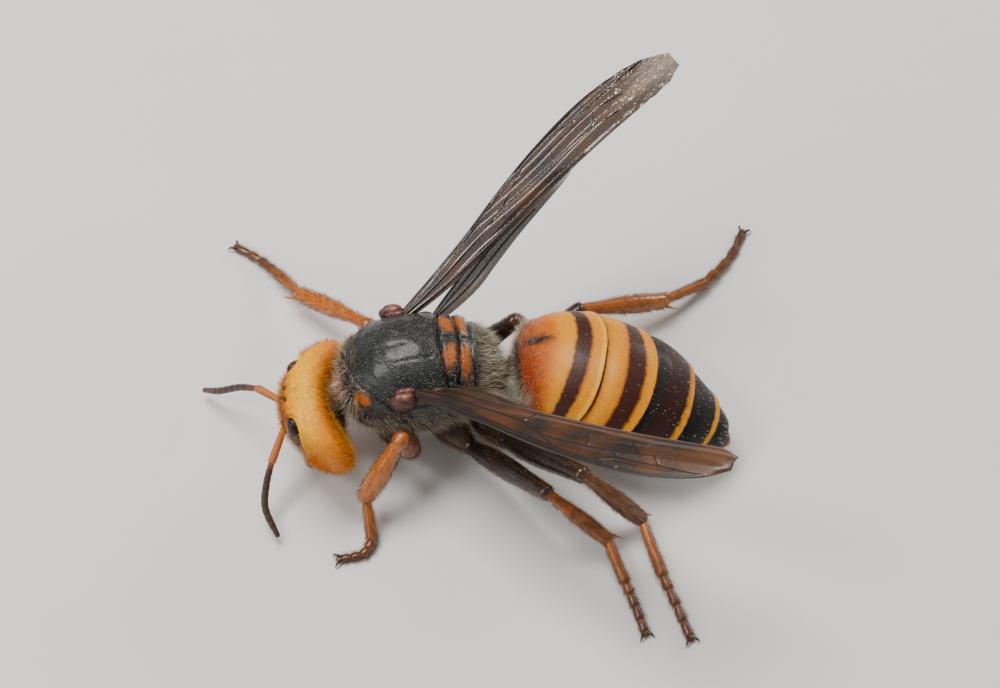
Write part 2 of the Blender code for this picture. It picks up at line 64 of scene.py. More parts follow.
camera = bpy.data.objects.new("camera", bpy.data.cameras.new("camera"))
bpy.context.scene.collection.objects.link(camera)
camera.location = CAMERA_PLACE
camera.rotation_euler = (math.radians(90.0 - CAMERA_HEIGHT_ANGLE), 0.0, 0.0)
camera.data.lens = CAMERA_LENS
camera.data.sensor_width = 36.0
camera.data.clip_start = 0.005
camera.data.clip_end = 20.0
bpy.context.scene.camera = camera


def add(tree, kind, inputs=None, **settings):
    """Add a node to a tree, with its settings, and fill or link its inputs."""
    made = tree.nodes.new(kind)
    for key, value in settings.items():
        setattr(made, key, value)
    for key, value in (inputs or {}).items():
        if isinstance(value, bpy.types.NodeSocket):
            tree.links.new(value, made.inputs[key])
        else:
            made.inputs[key].default_value = value
    return made


def blank_finish(name):
    """A new material, with its tree and its surface shader."""
    made = bpy.data.materials.new(name)
    made.use_nodes = True
    return made, made.node_tree, made.node_tree.nodes["Principled BSDF"]


def remap(tree, value, low=0.0, high=1.0, to_low=0.0, to_high=1.0, **settings):
    """A value moved from one range to another."""
    return add(tree, "ShaderNodeMapRange", {"Value": value, "From Min": low, "From Max": high,
                                            "To Min": to_low, "To Max": to_high},
               **settings).outputs[0]


def speckle(tree, place, scale, detail=2.0):
    """A cloudy pattern between 0 and 1, with its scale per metre."""
    return add(tree, "ShaderNodeTexNoise", {"Vector": place, "Scale": scale,
                                            "Detail": detail}).outputs[0]


def softbox(name, place, size, watts, colour):
    """A wide soft light that faces the hornet."""
    lamp = bpy.data.lights.new(name, "AREA")
    lamp.shape = "RECTANGLE"
    lamp.size, lamp.size_y = size
    lamp.energy = watts
    lamp.color = colour
    holder = bpy.data.objects.new(name, lamp)
    holder.location = place
    holder.rotation_euler = (Vector(place) * -1.0).to_track_quat("-Z", "Y").to_euler()
    bpy.context.scene.collection.objects.link(holder)


softbox("overhead_softbox", (-0.1, 0.12, 0.42), (0.22, 0.16), 1.9, (1.0, 0.97, 0.92))
softbox("wing_softbox", (-0.26, -0.08, 0.38), (0.14, 0.1), 0.55, (1.0, 0.98, 0.95))
softbox("left_softbox", (-0.42, -0.22, 0.22), (0.24, 0.24), 0.6, (1.0, 0.98, 0.96))
softbox("rear_softbox", (0.34, 0.36, 0.2), (0.2, 0.14), 0.95, (1.0, 0.96, 0.9))

world = bpy.data.worlds.new("studio")
world.use_nodes = True
world.node_tree.nodes["Background"].inputs["Color"].default_value = (1.0, 0.975, 0.94, 1.0)
world.node_tree.nodes["Background"].inputs["Strength"].default_value = 0.3
bpy.context.scene.world = world

FLOOR_HALF = 3.0
FLOOR_GRAIN = 60.0
FLOOR_TONES = (0.8, 0.84)
floor_mesh = bpy.data.meshes.new("floor")
floor_mesh.from_pydata([(-FLOOR_HALF, -FLOOR_HALF, 0.0), (FLOOR_HALF, -FLOOR_HALF, 0.0),
                        (FLOOR_HALF, FLOOR_HALF, 0.0), (-FLOOR_HALF, FLOOR_HALF, 0.0)],
                       [], [(0, 1, 2, 3)])
floor = bpy.data.objects.new("floor", floor_mesh)
bpy.context.scene.collection.objects.link(floor)
floor_finish, tree, shader = blank_finish("floor_card")
place = add(tree, "ShaderNodeTexCoord").outputs["Object"]
tone = remap(tree, speckle(tree, place, FLOOR_GRAIN), to_low=FLOOR_TONES[0],
             to_high=FLOOR_TONES[1])
pale = add(tree, "ShaderNodeCombineColor", {0: tone, 1: tone, 2: tone})
tree.links.new(pale.outputs[0], shader.inputs["Base Color"])
shader.inputs["Roughness"].default_value = 0.9
floor_mesh.materials.append(floor_finish)
floor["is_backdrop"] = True


# One hard box of fused black shell plates that carries the neck, legs and wings. Grooves part the
# collar, the shield, the two-lobed scutellum, the narrow plate behind it and the sloping rear.
MM = 0.001
# The place on the floor that the shapes are laid out round, in mm.
STANCE = np.array((-1.57, -4.13, 0.0))
THORAX_FRONT = np.array((-14.8, -4.57, 8.8))
THORAX_YAW = 8.0
THORAX_POWER = 2.3
# Distance from the front, half width, top and bottom.
THORAX_SECTIONS = (
    (0.0, 1.6, 1.4, -1.8),
    (0.5, 3.0, 2.7, -3.1),
    (1.5, 4.1, 3.6, -4.0),
    (3.0, 4.8, 4.5, -4.6),
    (5.0, 5.15, 5.1, -4.9),
    (7.2, 5.2, 5.25, -5.0),
    (9.9, 4.8, 4.95, -4.8),
    (11.05, 4.55, 4.75, -4.7),
    (12.3, 4.15, 4.0, -4.55),
    (13.3, 3.7, 3.1, -4.3),
    (14.2, 3.1, 1.6, -4.0),
    (14.9, 2.3, 0.0, -3.5),
    (15.3, 1.2, -1.0, -2.8),
)


def turn_matrix(x=0.0, y=0.0, z=0.0):
    return np.array(Euler((math.radians(x), math.radians(y), math.radians(z))).to_matrix())


def curve(rows, t):
    """Smooth line through rows of (place, values...), read at every place in t."""
    rows = np.asarray(rows, float)
    t = np.asarray(t, float)
    x, y = rows[:, 0], rows[:, 1:]
    slope = np.empty_like(y)
    slope[1:-1] = (y[2:] - y[:-2]) / (x[2:] - x[:-2])[:, None]
    slope[0] = (y[1] - y[0]) / (x[1] - x[0])
    slope[-1] = (y[-1] - y[-2]) / (x[-1] - x[-2])
    i = np.clip(np.searchsorted(x, t, side="right") - 1, 0, len(x) - 2)
    span = (x[i + 1] - x[i])[..., None]
    u = np.clip((t[..., None] - x[i][..., None]) / span, 0.0, 1.0)
    return (y[i] * (2 * u**3 - 3 * u**2 + 1) + slope[i] * span * (u**3 - 2 * u**2 + u)
            + y[i + 1] * (3 * u**2 - 2 * u**3) + slope[i + 1] * span * (u**3 - u**2))


def bell(distance, width):
    """1 in the middle, falling away smoothly on both sides."""
    return np.exp(-(np.asarray(distance) / width) ** 2)


def ramp(value, low, high):
    """0 below the low value and 1 above the high one, with a smooth rise between."""
    u = np.clip((value - low) / (high - low), 0.0, 1.0)
    return u * u * (3.0 - 2.0 * u)


def oval_axes(columns, power):
    """Sideways and upward shares of the points round an oval."""
    angle = 2.0 * np.pi * np.arange(columns) / columns
    c, s = np.cos(angle), np.sin(angle)
    return (np.sign(c) * np.abs(c) ** (2.0 / power), np.sign(s) * np.abs(s) ** (2.0 / power),
            angle)


def laid_on(way, out):
    """A direction laid flat on the skin whose outward directions are given."""
    return way - np.sum(way * out, axis=-1, keepdims=True) * out


def outward(rings):
    """Outward directions at the points of a grid of rings."""
    down = np.gradient(rings, axis=0)
    round_ = np.roll(rings, -1, axis=1) - np.roll(rings, 1, axis=1)
    way = np.cross(round_, down)
    way /= np.linalg.norm(way, axis=2, keepdims=True) + 1e-12
    if np.sum(way * (rings - rings.mean(axis=1, keepdims=True))) < 0.0:
        way = -way
    return way


TILE_MARGIN = 0.02


def on_tile(u, v, tiles, corner):
    """Places on one tile of the unwrap, inside its margin."""
    places = np.stack([u, v], axis=-1).reshape(-1, 2)
    return (places * (1.0 - 2.0 * TILE_MARGIN) + TILE_MARGIN) / tiles + corner


def shell(name, parts, finish):
    """One mesh of closed skins, each a grid of rings with its marks, on a shared unwrap."""
    tiles = math.ceil(math.sqrt(len(parts)))
    verts, faces, unwrap = [], [], []
    marks = {key: [] for _, part_marks in parts for key in part_marks}
    for number, (rings, part_marks) in enumerate(parts):
        rows, columns = rings.shape[:2]
        inner = rings - rings.mean(axis=(0, 1))
        flux = np.sum(np.cross(inner[:-1], np.roll(inner[:-1], -1, axis=1)) * inner[1:])
        order = slice(None) if flux > 0.0 else slice(None, None, -1)
        first = sum(len(v) for v in verts)
        grid = rings[:, order]
        verts += [grid.reshape(-1, 3), grid[:1].mean(axis=1), grid[-1:].mean(axis=1)]
        for key, rows_of in marks.items():
            width = 3 if key == "lie" else 1
            values = np.asarray(part_marks.get(key, 0.0), float)
            if values.ndim < 2:
                wanted = (rows, columns, 3) if width == 3 else (rows, columns)
                values = np.broadcast_to(values, wanted)
            values = values[:, order]
            rows_of += [values.reshape(-1, width), values[:1].reshape(-1, width)[:1],
                        values[-1:].reshape(-1, width)[:1]]
        corner = np.array((number % tiles, number // tiles)) / tiles
        c, r = np.meshgrid(np.arange(columns), np.arange(rows - 1))
        n = (c + 1) % columns
        quads = np.stack([first + r * columns + c, first + r * columns + n,
                          first + (r + 1) * columns + n, first + (r + 1) * columns + c], axis=-1)
        faces += quads.reshape(-1, 4).tolist()
        u = np.stack([c, c + 1, c + 1, c], axis=-1) / columns
        v = (np.stack([r, r, r + 1, r + 1], axis=-1) + 1.0) / (rows + 1.0)
        unwrap.append(on_tile(u, v, tiles, corner))
        c = np.arange(columns)
        n = (c + 1) % columns
        top, end = first + rows * columns, first + rows * columns + 1
        last = first + (rows - 1) * columns
        faces += np.stack([np.full(columns, top), first + n, first + c], axis=1).tolist()
        faces += np.stack([np.full(columns, end), last + c, last + n], axis=1).tolist()
        for tip, edge, flip in ((0.0, 1.0, True), (rows + 1.0, float(rows), False)):
            a, b = (c + 1, c) if flip else (c, c + 1)
            u = np.stack([c + 0.5, a, b], axis=1) / columns
            v = np.broadcast_to(np.array((tip, edge, edge)) / (rows + 1.0), (columns, 3))
            unwrap.append(on_tile(u, v, tiles, corner))
    mesh = bpy.data.meshes.new(name)
    mesh.from_pydata(((np.vstack(verts) - STANCE) * MM).tolist(), [], faces)
    mesh.uv_layers.new(name="OFBake").data.foreach_set("uv", np.vstack(unwrap).ravel())
    for key, rows_of in marks.items():
        kind, slot = ("FLOAT_VECTOR", "vector") if key == "lie" else ("FLOAT", "value")
        layer = mesh.attributes.new(key, kind, "POINT")
        layer.data.foreach_set(slot, np.vstack(rows_of).ravel())
    mesh.shade_smooth()
    mesh.materials.append(finish)
    made = bpy.data.objects.new(name, mesh)
    bpy.context.scene.collection.objects.link(made)
    return made


def mark_of(tree, name):
    """A mark that the skin carries, read by a finish."""
    return add(tree, "ShaderNodeAttribute", attribute_name=name).outputs["Fac"]


def blend(tree, share, first, second):
    """Two colours mixed by a share. A plain colour is given as red, green and blue."""
    first, second = [(*c, 1.0) if isinstance(c, tuple) else c for c in (first, second)]
    return add(tree, "ShaderNodeMix", {0: share, 6: first, 7: second},
               data_type="RGBA").outputs[2]


def shell_finish(name, base, deep, layers, roughness, pits, grain, gloss=0.0, sheen=0.0):
    """Hard insect shell: a tinted base, marks with soft edges, fine pits and a waxy surface.
    A layer is (mark, colour, edge width in mm); pits and grain are (per metre, depth in mm)."""
    made, tree, shader = blank_finish(name)
    place = add(tree, "ShaderNodeTexCoord").outputs["Object"]
    cloud = speckle(tree, place, 450.0, 4.0)
    fine = speckle(tree, place, grain[0], 3.0)
    wobble = add(tree, "ShaderNodeMath", {0: speckle(tree, place, 1900.0), 1: 0.5},
                 operation="SUBTRACT").outputs[0]
    mixed = blend(tree, remap(tree, cloud, 0.3, 0.7), base, deep)
    for mark, colour, softness in layers:
        reach = add(tree, "ShaderNodeMath", {0: wobble, 1: softness * 2.2,
                                             2: mark_of(tree, mark)},
                    operation="MULTIPLY_ADD").outputs[0]
        cover = remap(tree, reach, -softness, softness, interpolation_type="SMOOTHSTEP")
        mixed = blend(tree, cover, mixed, colour)
    mixed = add(tree, "ShaderNodeVectorMath",
                {0: mixed, "Scale": remap(tree, fine, 0.25, 0.75, 0.86, 1.1)},
                operation="SCALE").outputs[0]
    tree.links.new(mixed, shader.inputs["Base Color"])
    rough = remap(tree, fine, 0.3, 0.7, roughness - 0.07, roughness + 0.09)
    tree.links.new(rough, shader.inputs["Roughness"])
    pit = add(tree, "ShaderNodeTexVoronoi", {"Vector": place, "Scale": pits[0]})
    hole = remap(tree, pit.outputs["Distance"], 0.0, 0.35)
    low = add(tree, "ShaderNodeBump", {"Height": hole, "Distance": pits[1] * MM})
    high = add(tree, "ShaderNodeBump", {"Height": fine, "Distance": grain[1] * MM,
                                        "Normal": low.outputs[0]})
    tree.links.new(high.outputs[0], shader.inputs["Normal"])
    shader.inputs["Specular IOR Level"].default_value = 0.25 + 0.5 * gloss
    shader.inputs["Coat Weight"].default_value = gloss
    shader.inputs["Coat Roughness"].default_value = 0.16
    shader.inputs["Sheen Weight"].default_value = sheen
    shader.inputs["Sheen Roughness"].default_value = 0.4
    return made


THORAX_TURN = turn_matrix(z=THORAX_YAW)


def from_thorax(local):
    """Place from thorax axes: back from its front, to the hornet's right, and up."""
    return THORAX_FRONT + np.asarray(local, float) @ THORAX_TURN.T


THORAX_ROWS = 230
THORAX_COLUMNS = 220
back = np.linspace(0.0, THORAX_SECTIONS[-1][0], THORAX_ROWS)
width, top, bottom = curve(THORAX_SECTIONS, back).T
across, upward, angle = oval_axes(THORAX_COLUMNS, THORAX_POWER)
local = np.stack([np.broadcast_to(back[:, None], (THORAX_ROWS, THORAX_COLUMNS)),
                  width[:, None] * across,
                  ((top + bottom) / 2.0)[:, None] + ((top - bottom) / 2.0)[:, None] * upward],
                 axis=-1)
x, y, z = local[..., 0], local[..., 1], local[..., 2]
side = np.abs(y)
# How far round from the middle of the back: 0 on top, 1 at the side, 2 underneath.
roundness = np.broadcast_to(np.abs(np.pi / 2.0 - np.where(angle > 1.5 * np.pi, angle
                                                          - 2.0 * np.pi, angle))
                            / (np.pi / 2.0), x.shape)
roof = 1.0 - ramp(roundness, 0.75, 1.0)

# How far round, and how far back the collar reaches there.
COLLAR_LINE = ((0.0, 0.35), (0.25, 0.75), (0.45, 1.6), (0.62, 2.9), (0.8, 4.2), (1.0, 4.6),
               (1.2, 4.55), (1.45, 3.6), (1.75, 2.3), (2.0, 1.8))
collar_edge = curve(COLLAR_LINE, roundness)[..., 0]
past_collar = x - collar_edge
height = -0.26 * bell(past_collar, 0.16) + 0.1 * bell(past_collar - 0.45, 0.4)
height += -0.05 * ramp(-past_collar, 0.0, 1.2) * (1.0 - roof)
# The shield: a fine groove along its middle, a short one on each side and a raised rim.
height += -0.08 * bell(y, 0.09) * ramp(x, 0.9, 1.6) * (1.0 - ramp(x, 5.2, 6.6)) * roof
height += (-0.1 * bell(side - 2.15 + 0.05 * x, 0.1) * ramp(x, 4.6, 5.4)
           * (1.0 - ramp(x, 8.2, 8.7)) * roof)
height += -0.16 * bell(roundness - 0.8, 0.03) * ramp(x, 4.4, 5.2) * (1.0 - ramp(x, 8.6, 9.2))
# Scutellum between two deep grooves, in two lobes, and the narrow plate behind it.
front_groove = 9.12 + 0.03 * side**2
rear_groove = 11.0 - 0.02 * side**2
height += -0.5 * bell(x - front_groove, 0.16) * roof
height += -0.42 * bell(x - rear_groove, 0.13) * roof
lobes = ramp(x, 9.2, 9.7) * (1.0 - ramp(x, 10.6, 10.95)) * roof
height += lobes * (0.2 * ramp(3.6 - side, 0.0, 0.8) - 0.26 * bell(y, 0.22))
height += -0.3 * bell(side - 3.75, 0.2) * lobes
plate = ramp(x, 11.05, 11.3) * (1.0 - ramp(x, 11.85, 12.15)) * roof
height += plate * (0.16 - 0.1 * bell(y, 0.25))
height += -0.3 * bell(x - 12.2, 0.14) * roof
height += -0.34 * bell(y, 0.4) * ramp(x, 12.4, 13.6)
# Side plates: the slanting groove under the wings and the two upright grooves behind it.
flank = ramp(roundness, 0.85, 1.0) * (1.0 - ramp(roundness, 1.7, 1.9))
height += -0.2 * bell(x - (5.4 + 2.6 * (roundness - 1.0)), 0.16) * flank
height += -0.3 * bell(x - (9.6 - 0.9 * (roundness - 1.0)), 0.16) * flank
height += -0.22 * bell(x - 11.9, 0.16) * flank
height += 0.22 * bell(x - 7.2, 1.4) * bell(roundness - 1.3, 0.22)
lump = np.sin(x * 2.9 + y * 1.3) * np.sin(y * 2.3 - z * 1.9) * np.sin(z * 2.7 + x * 0.8)
height += 0.035 * lump
base_rings = from_thorax(local)
thorax_out = outward(base_rings)
thorax_rings = base_rings + thorax_out * height[..., None]


def patch(u, v, half_u, half_v, slant=0.0):
    """Distance in mm inside an oval patch, below zero outside it."""
    u = u + slant * v
    far = np.sqrt((u / half_u) ** 2 + (v / half_v) ** 2)
    return (1.0 - far) * min(half_u, half_v)


spots = np.maximum.reduce([
    patch(x - 10.05, side - 1.72, 0.52, 1.0, 0.16),
    patch(x - 11.48, side - 1.95, 0.4, 1.25, 0.1),
])
spots = np.where(roof > 0.4, spots, -1.0)
collar_spot = patch(x - 1.75, z - 2.05, 0.5, 0.55)
collar_spot = np.where(side > 2.8, collar_spot, -1.0)
orange_marks = np.maximum(spots, collar_spot)
yellow_marks = np.minimum(0.15 - np.abs(x - 0.95 - 0.1 * z), 1.6 - np.abs(z - 0.5))
yellow_marks = np.where(side > 2.2, yellow_marks, -1.0)
pale_line = 0.09 - np.abs(past_collar + 0.12)
pale_line = np.minimum(pale_line, 0.8 - np.abs(z - 0.4))
pale_line = np.where(side > 4.0, pale_line, -1.0)

# Hair: short on the shield, long in a fringe round the collar, the sides and the rear.
lie = laid_on(THORAX_TURN[:, 0], thorax_out)
long_hair = np.maximum.reduce([
    0.9 * (1.0 - ramp(x, 0.9, 1.9)),
    0.75 * ramp(roundness, 0.86, 1.1),
    0.85 * ramp(x, 12.0, 13.4),
    0.5 * ramp(roundness, 0.62, 0.9) * ramp(x, 9.2, 11.4),
])
shag = 0.13 + 0.87 * long_hair
coat = np.clip(0.62 + 0.6 * long_hair - 0.4 * (orange_marks > 0.0), 0.0, 1.0)

THORAX_BLACK = (0.006, 0.0075, 0.0095)
THORAX_WORN_BLACK = (0.022, 0.026, 0.031)
SPOT_ORANGE = (0.42, 0.105, 0.006)
COLLAR_YELLOW = (0.66, 0.19, 0.006)
SEAM_GREY = (0.24, 0.2, 0.12)
thorax_finish = shell_finish(
    "thorax_black", THORAX_BLACK, THORAX_WORN_BLACK,
    [("orange", SPOT_ORANGE, 0.28), ("yellow", COLLAR_YELLOW, 0.06), ("pale", SEAM_GREY, 0.06)],
    roughness=0.34, pits=(4200.0, 0.11), grain=(6500.0, 0.06), gloss=0.25)
thorax = shell("thorax_shell", [(thorax_rings, {
    "orange": orange_marks, "yellow": yellow_marks, "pale": pale_line,
    "coat": coat, "shag": shag, "lie": lie})], thorax_finish)
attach(thorax, "root")
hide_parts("thorax")


# Fine golden-grey hairs, short and sparse on the shield and long in fringes. Each is a thin
# tapered thread rooted in the shell and laid backwards.
# Height as a share of the length, then radius and bend as shares of the width.
THREAD_RINGS = ((0.0, 1.0, 0.0), (0.5, 0.75, 1.6))
THREAD_TIP_HEIGHT = 1.0
THREAD_TIP_BEND = 5.0

thread_verts, thread_faces = [], []
for height, radius, bend in THREAD_RINGS:
    for i in range(3):
        a = 2.0 * math.pi * i / 3.0
        thread_verts.append((radius * math.cos(a) + bend, radius * math.sin(a), height))
thread_verts.append((THREAD_TIP_BEND, 0.0, THREAD_TIP_HEIGHT))
thread_faces.append((2, 1, 0))
for i in range(3):
    n = (i + 1) % 3
    thread_faces.append((i, n, 3 + n, 3 + i))
    thread_faces.append((3 + i, 3 + n, 6))
thread_mesh = bpy.data.meshes.new("thread")
thread_mesh.from_pydata(thread_verts, [], thread_faces)
thread_unwrap = thread_mesh.uv_layers.new(name="strand")
for polygon in thread_mesh.polygons:
    for loop in polygon.loop_indices:
        spot = thread_mesh.vertices[thread_mesh.loops[loop].vertex_index].co
        turn = math.atan2(spot.y, spot.x) / (2.0 * math.pi) + 0.5
        thread_unwrap.data[loop].uv = (turn, spot.z)
thread_mesh.shade_smooth()
thread = bpy.data.objects.new("thread", thread_mesh)

# Size of one thread on the unwrap, most roots per square metre, spread of the lengths, and how
# low a thread or a foot may reach, in metres.
BAKE_PATCH = 0.003
MOST_ROOTS = 9e8
UNEVEN_LENGTH = (0.6, 1.15)
LEAST_HEIGHT = 0.00003
hair_tree = bpy.data.node_groups.new("laid hair", "GeometryNodeTree")
for label, kind in (("Skin", "Geometry"), ("Thread", "Object"), ("Spacing", "Float"),
                    ("Length", "Float"), ("Width", "Float"), ("Lift", "Float"),
                    ("Wildness", "Float"), ("Seed", "Int"), ("Finish", "Material")):
    hair_tree.interface.new_socket(label, in_out="INPUT", socket_type="NodeSocket" + kind)
hair_tree.interface.new_socket("Hair", in_out="OUTPUT", socket_type="NodeSocketGeometry")
given = add(hair_tree, "NodeGroupInput").outputs


def mark_on_hair(name, kind="FLOAT"):
    """A mark read inside the tree."""
    return add(hair_tree, "GeometryNodeInputNamedAttribute", {"Name": name},
               data_type=kind).outputs[0]


def keep_mark(geometry, name, value, kind, domain="POINT"):
    """The same shapes with one more mark on them."""
    return add(hair_tree, "GeometryNodeStoreNamedAttribute",
               {"Geometry": geometry, "Name": name, "Value": value},
               data_type=kind, domain=domain).outputs[0]


def drop_marks(geometry, *names):
    """The same shapes without marks that are no longer needed."""
    for name in names:
        geometry = add(hair_tree, "GeometryNodeRemoveAttribute",
                       {"Geometry": geometry, "Name": name}).outputs[0]
    return geometry


def by_chance(low, high):
    """A number or a direction between two limits, the same at each run."""
    kind, place = ("FLOAT_VECTOR", 0) if isinstance(low, tuple) else ("FLOAT", 1)
    return add(hair_tree, "FunctionNodeRandomValue",
               {2 * place: low, 2 * place + 1: high, "Seed": given["Seed"]},
               data_type=kind).outputs[place]


def vector(operation, first, second):
    second = {"Scale": second} if operation == "SCALE" else {1: second}
    return add(hair_tree, "ShaderNodeVectorMath", {0: first, **second},
               operation=operation).outputs[0]


def number(operation, first, second):
    return add(hair_tree, "ShaderNodeMath", {0: first, 1: second},
               operation=operation).outputs[0]


# A root on the skin keeps the place of the unwrap it stands on and a shade of its own.
roots = add(hair_tree, "GeometryNodeDistributePointsOnFaces",
            {"Mesh": given["Skin"], "Distance Min": given["Spacing"],
             "Density Max": MOST_ROOTS, "Density Factor": mark_on_hair("coat"),
             "Seed": given["Seed"]}, distribute_method="POISSON")
points = keep_mark(roots.outputs["Points"], "root", mark_on_hair("OFBake", "FLOAT_VECTOR"),
                   "FLOAT_VECTOR")
points = keep_mark(points, "shade", by_chance(0.0, 1.0), "FLOAT")
# The thread follows the lie, raised by the lift and turned aside by the wildness.
aim = vector("ADD", mark_on_hair("lie", "FLOAT_VECTOR"),
             vector("SCALE", roots.outputs["Normal"], given["Lift"]))
stray = by_chance((-1.0, -1.0, -1.0), (1.0, 1.0, 1.0))
aim = vector("ADD", aim, vector("SCALE", stray, given["Wildness"]))
turned = add(hair_tree, "FunctionNodeAlignRotationToVector", {"Vector": aim}, axis="Z")
long = number("MULTIPLY", given["Length"], by_chance(*UNEVEN_LENGTH))
long = number("MULTIPLY", long, mark_on_hair("shag"))
size = add(hair_tree, "ShaderNodeCombineXYZ", {0: given["Width"], 1: given["Width"], 2: long})
source = add(hair_tree, "GeometryNodeObjectInfo", {"Object": given["Thread"]})
planted = add(hair_tree, "GeometryNodeInstanceOnPoints",
              {"Points": points, "Instance": source.outputs["Geometry"],
               "Rotation": turned.outputs[0], "Scale": size.outputs[0]})
real = add(hair_tree, "GeometryNodeRealizeInstances", {"Geometry": planted.outputs[0]})
# No thread goes through the floor.
split = add(hair_tree, "ShaderNodeSeparateXYZ",
            {0: add(hair_tree, "GeometryNodeInputPosition").outputs[0]}).outputs
clear = add(hair_tree, "ShaderNodeCombineXYZ",
            {0: split[0], 1: split[1], 2: number("MAXIMUM", split[2], LEAST_HEIGHT)})
raised = add(hair_tree, "GeometryNodeSetPosition", {"Geometry": real.outputs[0],
                                                    "Position": clear.outputs[0]})
hairs = drop_marks(raised.outputs[0], "OFBake", "lie", "coat", "shag")
# Each thread is unwrapped as a small patch round its root.
small = vector("SCALE", vector("SUBTRACT", mark_on_hair("strand", "FLOAT_VECTOR"),
                               (0.5, 0.5, 0.0)), BAKE_PATCH)
spread = vector("ADD", mark_on_hair("root", "FLOAT_VECTOR"), small)
hairs = keep_mark(hairs, "OFBake", spread, "FLOAT2", "CORNER")
hairs = drop_marks(hairs, "strand", "root")
finished = add(hair_tree, "GeometryNodeSetMaterial", {"Geometry": hairs,
                                                      "Material": given["Finish"]})
add(hair_tree, "NodeGroupOutput", {"Hair": finished.outputs[0]})


def grow_hair(name, skin, slot, finish, **settings):
    """Plant threads over a skin by its coat, shag and lie marks, as one plain mesh."""
    bed = bpy.data.objects.new(name, skin.data)
    bpy.context.scene.collection.objects.link(bed)
    growth = bed.modifiers.new("hair", "NODES")
    growth.node_group = hair_tree
    settings = {**settings, "thread": thread, "finish": finish}
    for socket in hair_tree.interface.items_tree:
        if socket.in_out == "INPUT" and socket.name.lower() in settings:
            growth[socket.identifier] = settings[socket.name.lower()]
    grown = bpy.data.meshes.new_from_object(
        bed.evaluated_get(bpy.context.evaluated_depsgraph_get()))
    bed.modifiers.clear()
    bed.data = grown
    grown.name = name
    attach(bed, "root")
    return bed


def hair_finish(name, dark, light, roughness=0.45):
    made, tree, shader = blank_finish(name)
    place = add(tree, "ShaderNodeTexCoord").outputs["Object"]
    both = add(tree, "ShaderNodeMath", {0: mark_of(tree, "shade"),
                                        1: speckle(tree, place, 700.0)}, operation="MULTIPLY")
    tint = blend(tree, remap(tree, both.outputs[0], 0.05, 0.5), dark, light)
    tree.links.new(tint, shader.inputs["Base Color"])
    shader.inputs["Roughness"].default_value = roughness
    return made


under_hair = hair_finish("grey_brown_hair", (0.03, 0.025, 0.018), (0.34, 0.28, 0.19))
pale_hair = hair_finish("golden_grey_hair", (0.36, 0.27, 0.15), (0.95, 0.86, 0.68))
grow_hair("thorax_fur", thorax, "hair", under_hair, spacing=0.14 * MM, length=0.66 * MM,
          width=0.011 * MM, lift=0.6, wildness=0.4, seed=11)
grow_hair("thorax_hair", thorax, "hair", pale_hair, spacing=0.22 * MM, length=1.45 * MM,
          width=0.013 * MM, lift=1.1, wildness=0.7, seed=12)


# A broad capsule of orange shell, swept back at its sides and hollow behind, where the neck
# holds it. The face plate, the groove over the crown and a rim round each eye are pressed in.
HEAD_CENTRE = np.array((-17.3, -6.75, 6.75))
HEAD_TURN = turn_matrix(z=183.0) @ turn_matrix(y=15.0)
HEAD_HALF = np.array((2.9, 6.6, 4.5))
HEAD_SQUARENESS = 2.5
HEAD_SWEEP = 1.95
FACE_NARROWING = 0.16
HEAD_HOLLOW = 1.7
HEAD_HOLLOW_WIDTH = 3.6
CHIN_NARROWING = 0.3
HEAD_ROWS = 200
HEAD_COLUMNS = 260
EYE_PLACE = np.array((0.7, 3.35, 1.0))
EYE_HALF = np.array((1.2, 1.45, 3.0))
EYE_TILT = -12.0
EYE_TURN = 44.0


def from_head(local):
    """Place from head axes: towards the face, to the hornet's left, and up."""
    return HEAD_CENTRE + np.asarray(local, float) @ HEAD_TURN.T


def ball_ways(rows, columns):
    """Directions from the middle of a ball, in rings from its top down."""
    rise = np.linspace(0.5, -0.5, rows + 2)[1:-1, None] * np.pi
    way = 2.0 * np.pi * np.arange(columns)[None, :] / columns
    return np.stack([np.cos(rise) * np.cos(way), np.cos(rise) * np.sin(way),
                     np.sin(rise) * np.ones_like(way)], axis=-1)


n = ball_ways(HEAD_ROWS, HEAD_COLUMNS)
n = n * (np.sum(np.abs(n) ** HEAD_SQUARENESS, axis=2) ** (-1.0 / HEAD_SQUARENESS))[..., None]
spot = n * HEAD_HALF
low = np.maximum(0.0, -n[..., 2])
spot[..., 1] *= 1.0 - CHIN_NARROWING * low**2
spot[..., 1] *= 1.0 - FACE_NARROWING * np.maximum(0.0, n[..., 0])
spot[..., 0] -= HEAD_SWEEP * n[..., 1] ** 2
behind = np.maximum(0.0, -n[..., 0])
spot[..., 0] += HEAD_HOLLOW * behind * np.exp(
    -(spot[..., 1] ** 2 + spot[..., 2] ** 2) / HEAD_HOLLOW_WIDTH**2)
head_x, head_y, head_z = spot[..., 0], spot[..., 1], spot[..., 2]
head_side = np.abs(head_y)
facing = ramp(n[..., 0], 0.0, 0.5)

eye_turn = turn_matrix(z=EYE_TURN) @ turn_matrix(x=-EYE_TILT)
near_eye = (np.stack([head_x, head_side, head_z], axis=-1) - EYE_PLACE) @ eye_turn
eye_gap = (np.sqrt(np.sum((near_eye / EYE_HALF) ** 2, axis=2)) - 1.0) * 1.5
height = -0.16 * bell(eye_gap - 0.1, 0.09) + 0.12 * bell(eye_gap - 0.34, 0.16)
